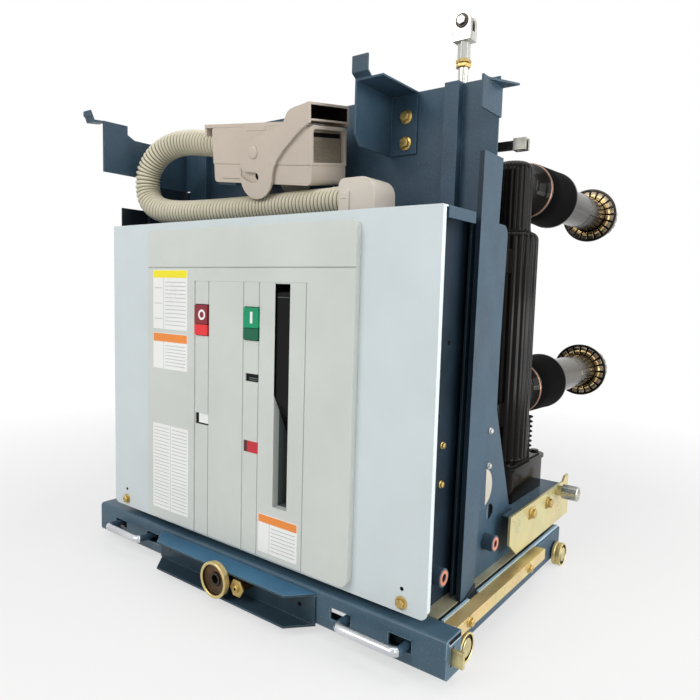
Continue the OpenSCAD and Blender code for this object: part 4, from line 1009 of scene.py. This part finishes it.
# Profiles round an arm: the seam ring and the collar from the neck's end, the shroud and its
# lip. A rod has places along it, with how far it grows there, and an outline with a flat foot
NECK_RING = [(-0.4, 40), (-0.2, 46.2), (0.8, 46.9), (3.0, 46.9), (3.6, 46.0), (3.6, 40)]
COLLAR = [(3.4, 38), (3.4, 45.2), (4.4, 46), (7.4, 46.8), (8.4, 46.2), (8.4, 38)]
SHROUD = [(431.8, 36), (432, 46.6), (434, 47.6), (470, 48.9), (520, 50.6), (541, 51.4),
          (546, 51.4), (546, 47.2), (522, 46.6), (520.5, 45), (520.5, 36)]
SHROUD_LIP = [(541.5, 49), (542, 51.6), (544, 52), (547, 52), (549.2, 51.2), (550, 49.6),
              (549.2, 48), (547, 47.2), (542, 47.2)]
ROD_ENDS = ((500, 0), (700, 0), (701, -0.7), (703, -0.7), (704, 0), (803, 0), (804, -1))
ROD_R, FLAT_R, FLAT_END = 35, 33.6, -0.35
ROD_TURNS = [2 * math.pi * k / 96 for k in range(96)]
ROD_OUTLINE = [(ROD_R if math.sin(t) > FLAT_END else FLAT_R, t) for t in ROD_TURNS]

rings, collars, shrouds, lips, arms = (Form() for _ in range(5))
for x, z in [(x, z) for x, _ in POLES for z in ARM_Z]:
    rings.turned("y", (x, NECK_END, z), NECK_RING, 72, loop=True)
    collars.turned("y", (x, NECK_END, z), COLLAR, 72, loop=True)
    shrouds.turned("y", (x, 0, z), SHROUD, 80, loop=True)
    lips.turned("y", (x, 0, z), SHROUD_LIP, 80, loop=True)
    arms.loft([[(x + (r + grow) * math.cos(t), y, z + (r + grow) * math.sin(t))
                for r, t in ROD_OUTLINE] for y, grow in ROD_ENDS])
piece(rings, "neck_rings", COPPER, angle=40)
piece(collars, "neck_collars", GLOSS, angle=40)
piece(shrouds, "arm_shrouds", RUBBER, angle=40, replaces=["pole_shrouds"])
piece(lips, "shroud_lips", GLOSS, angle=60)
piece(arms, "contact_rods", ARM, angle=25, replaces=["contact_arms"])

# ---------------------------------------------------------------- tulip contacts

FINGERS = 20
SPRING_TURNS = 20
FINGER_TURNS = [2 * math.pi * (k + 0.5) / FINGERS for k in range(FINGERS)]
FINGER = [(796.4, 38), (796.4, 50), (798, 52.6), (806, 52.6), (812, 50.5), (818, 50),
          (818, 47), (823, 47), (823, 49.6), (832, 48.6), (832, 46), (837, 46), (837, 48.2),
          (850, 46.6), (854, 45.2), (856, 43), (856, 39.5), (854, 38.2), (815, 38.2),
          (812, 36.5)]
FINGER_TIP = [(846, 37.9), (856, 38.9), (856, 41.5), (846, 40)]
FINGER_ROOT = [(794.6, 36), (794.2, 41.5), (796.5, 44.5), (798, 44.5), (798, 36)]
TULIP_RIM = [(796, 53.4), (796.4, 56.2), (797.4, 57), (801, 57), (803, 56), (804, 54),
             (804, 53.4)]
SPRINGS = ((820.5, 48.4), (834.5, 47.4))
SPRING_R = 2.1


def tulip(x, z, name):
    """A ring of spring contact fingers round the end of a contact arm."""
    centre = (x, 0, z)
    form = Form()
    for middle in FINGER_TURNS:
        form.sector("y", centre, FINGER, middle, math.radians(6.2), 3)
    form.mark = 1
    for middle in FINGER_TURNS:
        form.sector("y", centre, FINGER_TIP, middle, math.radians(6.0), 3)
        form.sector("y", centre, FINGER_ROOT, middle, math.radians(6.4), 3)
    form.mark = 2
    form.turned("y", centre, [(798.5, 40), (798.5, 54), (802.5, 54), (802.5, 40)], 80, loop=True)
    form.turned("y", centre, TULIP_RIM, 80, loop=True)
    form.turned("y", centre, [(804, 4), (804, 43), (809, 43), (809, 4)], 64, loop=True)
    form.mark = 3
    for y, wide in SPRINGS:
        coil = [(y + SPRING_R * math.cos(t), wide + SPRING_R * math.sin(t))
                for t in (math.pi * k / 4 for k in range(8))]
        form.turned("y", centre, coil, 80, loop=True,
                    wave=lambda a, i: 0.35 * abs(math.sin(SPRING_TURNS * a)))
    form.turned("y", centre, [(809, 9), (810.5, 9), (810.6, 8.4)], 32)
    form.hexagon("y", centre, 13, 810.4, 817, 0.3)
    piece(form, name, [BRONZE, BRASS, TULIP_DARK, SPRING], bevel=0.5, angle=38,
          replaces=[name.replace("contact_", "tulip_")])


for x, side_name in POLES:
    for z, level in zip(ARM_Z, ("upper", "lower")):
        tulip(x, z, f"contact_{level}_{side_name}")

# ---------------------------------------------------------------- girder, handles and socket

GIRDER_END = 358
SOCKET_Z = 42
LATCH_Z = 39
GRIP_Y = -31
HANDLE_X = (211, 303)
LEG_ROWS = 5
GRIP_R, GRIP_SWELL = 5.0, 1.2
LATCH_Y = 4
LATCH_T = 5
TONGUE_START, TONGUE_X = 345, 373


def handle(side, name, body, node):
    """A bent grip on two legs with its latch plate and tongue."""
    bend = 10
    x0, x1 = HANDLE_X
    plan = ([(x0, LATCH_Y), (x0, -12)] + arc((x0 + bend, GRIP_Y + bend), bend, 180, 270, 8)
            + [(x0 + 30, GRIP_Y), (x1 - 30, GRIP_Y)]
            + arc((x1 - bend, GRIP_Y + bend), bend, 270, 360, 8) + [(x1, -12), (x1, LATCH_Y)])
    count = len(plan)
    radii = [GRIP_R + GRIP_SWELL * min(1, min(k, count - 1 - k) / LEG_ROWS)
             for k in range(count)]
    form = Form()
    form.pick = lambda row: 0 if LEG_ROWS <= row < count - 1 - LEG_ROWS else 3
    form.swept([(side * px, py, LATCH_Z) for px, py in plan], radii, 24)
    form.pick = None
    for mark, a, b in ((2, x0 - 9, TONGUE_START), (1, TONGUE_START, TONGUE_X)):
        form.mark = mark
        lo, hi = sorted((side * a, side * b))
        form.box((lo, LATCH_Y, LATCH_Z - 10), (hi, LATCH_Y + LATCH_T, LATCH_Z + 10))
    form.mark = 0
    for x in HANDLE_X:
        form.hexagon("y", (side * x, 0, LATCH_Z), 13, LATCH_Y + LATCH_T,
                     LATCH_Y + LATCH_T + 5, 0.2)
    piece(form, name, [CHROME, CAP, DARK, BLUE], body, bevel=0.5,
          replaces=[node])


handle(-1, "handle_left", "latch_left", "latch_handle_left")
handle(1, "handle_right", "latch_right", "latch_handle_right")

SOCKET = (0, 0, SOCKET_Z)
SOCKET_CUP = [(-50.8, 22.4), (-51.8, 23.4), (-52, 24.2), (-52, 25.6), (-51.2, 26.8),
              (-47.6, 26.9), (-46.8, 26.0), (-42, 26.0), (-42, 10.6), (-45, 10.6), (-45, 14.6),
              (-45.6, 15), (-45.6, 19.8), (-46.4, 21.5)]
form = Form()
form.pick = lambda row: 1 if row > 6 else 0
form.turned("y", SOCKET, SOCKET_CUP, 96, loop=True)
form.pick = None
form.mark = 1
form.turned("y", SOCKET, [(-42.4, 10.6), (-42.4, 12.5), (-6, 12.5), (-6, 10.6)], 64, loop=True)
piece(form, "socket_ring", [ZINC, BROWN], "girder", bevel=0.3,
      replaces=["racking_socket"])

# Holes in the nose's web, and the folds left open at the girder's ends
form = Form()
for x in (-150, 134):
    form.turned("y", (x, 0, 36), [(-12.2, 3.2), (-11.8, 3.2)], 24)
for side in SIDES:
    form.prism("x", rounded((-4, 56.6), (27, 61.4), (2.2, 0.5, 0.5, 2.2), 4), side * GIRDER_END,
               side * (GIRDER_END + 0.25))
piece(form, "girder_holes", HOLE, "girder")
# The girder's folded ends in the light blue of a painted highlight
form = Form()
for side in SIDES:
    form.prism("x", [(-5.4, 60.4), (-4, 56.4), (-1.6, 54.9), (27.6, 54.9), (27.6, 56.5),
                     (-1, 56.5), (-3.6, 58), (-4.1, 60.4)], side * GIRDER_END,
               side * (GIRDER_END + 0.5))
piece(form, "girder_folds", HIGHLIGHT_BLUE, "girder")

# Dark plates inside the girder behind the handles' slots: painted shade seen through the slots
PLATE_Y = (15.5, 17)
form = Form()
for side in SIDES:
    lo, hi = sorted((side * 194, side * 324))
    form.box((lo, PLATE_Y[0], LATCH_Z - 20), (hi, PLATE_Y[1], LATCH_Z + 20))
    for x in HANDLE_X:
        form.hexagon("y", (side * x, 0, LATCH_Z), 9, PLATE_Y[1], PLATE_Y[1] + 3, 0.2)
piece(form, "latch_shade_plates", DARK, "girder", bevel=0.4)

LOCK = (39, 0, SOCKET_Z - 4)
form = Form()
form.mark = 2
form.turned("y", LOCK, [(-12, 8), (-37.4, 8), (-38, 7.6)], 40)
form.mark = 0
form.hexagon("y", LOCK, 23.4, -38, -41, 0.0)
form.turned("y", LOCK, [(-40.8, 5.4), (-43.2, 5.2), (-44, 4.4)], 36)
form.mark = 1
form.turned("y", LOCK, [(-43.9, 2.1), (-44, 2.1), (-44, 1.2)], 20)
piece(form, "key_lock", [BOLT, HOLE, BROWN], "girder", bevel=0.3,
      replaces=["racking_lock"])

# ---------------------------------------------------------------- interlock rod and links

ROD_X, ROD_Y = 245, 186
ROD = (ROD_X, ROD_Y, 0)
PIN = (ROD_X, ROD_Y, 842)
FORK_Z, FORK_HALF, CLEVIS_Z = 828, 13.5, 841
form = Form()
form.turned("z", ROD, [(476, 6.4), (477, 7), (781, 7)], 36)
form.hexagon("z", ROD, 15.6, 792, 816.5, 0.5)
form.mark = 1
form.hexagon("z", ROD, 19, 786, 781, 0.2)
form.hexagon("z", ROD, 19, 787.2, 792, 0.6)
form.mark = 0
for low in (-10, 4):
    form.prism("y", [(ROD_X - FORK_HALF, FORK_Z), (ROD_X + FORK_HALF, FORK_Z),
                     (ROD_X + FORK_HALF, CLEVIS_Z)]
               + arc((ROD_X, CLEVIS_Z), 13, 4, 176, 12) + [(ROD_X - FORK_HALF, CLEVIS_Z)],
               ROD_Y + low, ROD_Y + low + 6)
form.box((ROD_X - FORK_HALF, ROD_Y - 10, 816), (ROD_X + FORK_HALF, ROD_Y + 10, FORK_Z))
form.mark = 2
form.turned("y", PIN, [(-11.6, 9.6), (-10, 9.8), (-9.8, 9), (10, 6), (11, 6)], 36)
form.mark = 0
form.hexagon("y", PIN, 11.5, -11.4, -15, 0.3)
piece(form, "interlock_clevis_rod", [STEEL, BOLT, SCREW], "interlock", bevel=0.6,
      replaces=["interlock_rod"])

# ---------------------------------------------------------------- truck details

WHEEL_IN, AXLE_X = 335.5, 346
AXLES = (64, 432)
WHEEL_Z = 20
ROLLER = (367.5, 430, 132)
WHEEL = [(0, 8), (0, 19.4), (0.7, 20), (4.2, 20), (5, 19.2), (5.3, 18.3), (7.2, 18.3),
         (7.5, 19.0), (8.2, 19.6), (13.4, 19.6), (14.4, 18.9), (14.5, 17.4), (13.8, 16.6),
         (11.4, 16.2), (11, 8)]
AXLE_CAP = [(-1, 7), (1.2, 7), (1.2, 12.2), (3.2, 12), (3.8, 11.2), (3.8, 3)]
axles = Form()
for side, hand in zip(SIDES, "lr"):
    for y, end, row in zip(AXLES, "fr", ("front", "rear")):
        form = Form()
        form.pick = lambda index: 1 if index in (12, 13) else 0
        form.turned("x", (side * WHEEL_IN, y, WHEEL_Z), sided(WHEEL, side), 64, loop=True)
        piece(form, f"wheel_{row}_{hand}", [ZINC, SCREW], f"wheel_{end}{hand}",
              bevel=0.3, replaces=[f"wheel_{row}_{'left' if side < 0 else 'right'}"])
        axles.turned("x", (side * AXLE_X, y, WHEEL_Z), sided(AXLE_CAP, side), 40)
    axles.bolt("x", (side * ROLLER[0], *ROLLER[1:]), side, 8, 0.6, 6.4)
piece(axles, "axle_ends", CAP, bevel=0.2)

# The deck's folded edge beside each gold rail in the light blue of a painted highlight, broken by
# a dark gusset at the strip's foot
DECK_Y = (33, 452)
LIP = [(327.6, 58.2), (331.2, 58.2), (331.2, 62.4), (327.6, 62.8)]
GAP = [(323.2, 58.2), (327.5, 58.2), (327.5, 61.5), (323.2, 61.5)]
GUSSET = [(325.2, 104), (331.2, 108), (331.2, 130), (325.2, 130)]
GUSSET_X = (325.2, 326.4)
lips, gaps = Form(), Form()
for side in SIDES:
    for y0, y1 in ((DECK_Y[0], 104), (132, DECK_Y[1])):
        lips.prism("y", sided(LIP, side), y0, y1)
    gaps.prism("y", sided(GAP, side), *DECK_Y)
    gaps.prism("x", [(92, 61), (130, 73), (130, 61)], side * GUSSET_X[0], side * GUSSET_X[1])
    gaps.prism("z", sided(GUSSET, side), 61, 62.2)
piece(lips, "deck_lips", HIGHLIGHT_BLUE, bevel=0.3)
piece(gaps, "deck_gaps", DARK)

PAD_X = (333.8, 335.6)
form = Form()
for side in SIDES:
    for y, z in BRACKET_BOLTS:
        form.prism("x", rounded((y - 9, z - 9), (y + 9, z + 9), 2, 3), side * PAD_X[0],
                   side * PAD_X[1])
        form.bolt("x", (side * PAD_X[1], y, z), side, 13, 5, 9)
piece(form, "bracket_bolts", BOLT, bevel=0.3)

HOOK_X = 178
form = Form()
for z in (715, 678):
    form.bolt("y", (HOOK_X, BACK_Y - 3, z), -1, 13, 5.5, 10)
piece(form, "hook_bolts", BOLT, bevel=0.3)

# The web that joins the left hook to the side frame's strip, in the darker blue of painted shade
form = Form()
form.box((-324.6, 66, 572), (-315.4, 158, 645.5))
piece(form, "bracket_web", PAINTED_SHADE_BLUE, bevel=0.6)

# ---------------------------------------------------------------- floor, light and world

# In metres: the floor's half, and where its own white begins and is whole
FLOOR = 8.0
FLOOR_NEAR, FLOOR_FAR = 0.7, 1.5
FLOOR_GLOW = 0.62
FLOOR_TONES = (214, 214, 214), (222, 222, 221)
WHITE = (1, 1, 1, 1)
SKY_LIGHT = 0.38
# Each lamp's name, place, target, size and power, in metres and watts
LAMPS = (("key", (-0.6, -3.0, 2.3), (0, 0, 0.35), (2.2, 1.6), 52),
         ("right", (2.9, 0.1, 1.1), (0, 0.1, 0.3), (1.6, 1.6), 31),
         ("top", (0.3, 0.1, 3.0), (0, 0, 0.3), (2.0, 2.0), 26),
         ("low_right", (1.9, 0.2, 0.3), (0.3, 0.2, 0.15), (1.4, 0.4), 12),
         ("strip_front", (1.9, -1.7, 1.5), (0.1, 0, 0.45), (0.12, 1.8), 7),
         ("strip_rear", (2.2, 1.5, 1.4), (0.1, 0, 0.4), (0.12, 1.6), 6))


def floor():
    """A pale floor that keeps the shadow and turns white away from the object."""
    mesh = bpy.data.meshes.new("floor")
    mesh.from_pydata([(-FLOOR, -FLOOR, 0), (FLOOR, -FLOOR, 0), (FLOOR, FLOOR, 0),
                      (-FLOOR, FLOOR, 0)], [], [(0, 1, 2, 3)])
    obj = bpy.data.objects.new("floor", mesh)
    bpy.context.scene.collection.objects.link(obj)
    n = Nodes(bpy.data.materials.new("studio_floor"))
    n.set("Roughness", 0.9)
    spots = n.noise(n.place(), 3.0)
    n.set("Base Color", n.mix(spots, *(linear(tone) for tone in FLOOR_TONES)))
    length = n.vector("LENGTH", n.add("TexCoord").outputs["Object"])
    away = n.spread(length, FLOOR_NEAR, FLOOR_FAR, FLOOR_GLOW, 1.0)
    glow = n.add("Emission", Strength=1.0)
    n.blend(n.math("MULTIPLY", n.seen(), away), n.shader, glow, "Material Output")
    mesh.materials.append(n.owner)


def area(name, place, target, size, power):
    """A rectangular lamp aimed at a target."""
    data = bpy.data.lights.new(name, "AREA")
    data.shape = "RECTANGLE"
    data.size, data.size_y = size
    data.energy = power
    obj = bpy.data.objects.new(name, data)
    bpy.context.scene.collection.objects.link(obj)
    obj.location = place
    aim = Vector(target) - Vector(place)
    obj.rotation_euler = aim.to_track_quat("-Z", "Y").to_euler()


def world():
    """A soft white sky that the camera and the gloss see as plain white."""
    bpy.context.scene.world = bpy.data.worlds.new("studio")
    n = Nodes(bpy.context.scene.world, "Background")
    n.set("Color", WHITE)
    n.set("Strength", SKY_LIGHT)
    n.blend(n.seen(), n.shader, n.add("Background", Color=WHITE), "World Output")


floor()
world()
for lamp in LAMPS:
    area(*lamp)
bpy.context.scene.view_settings.view_transform = "Standard"
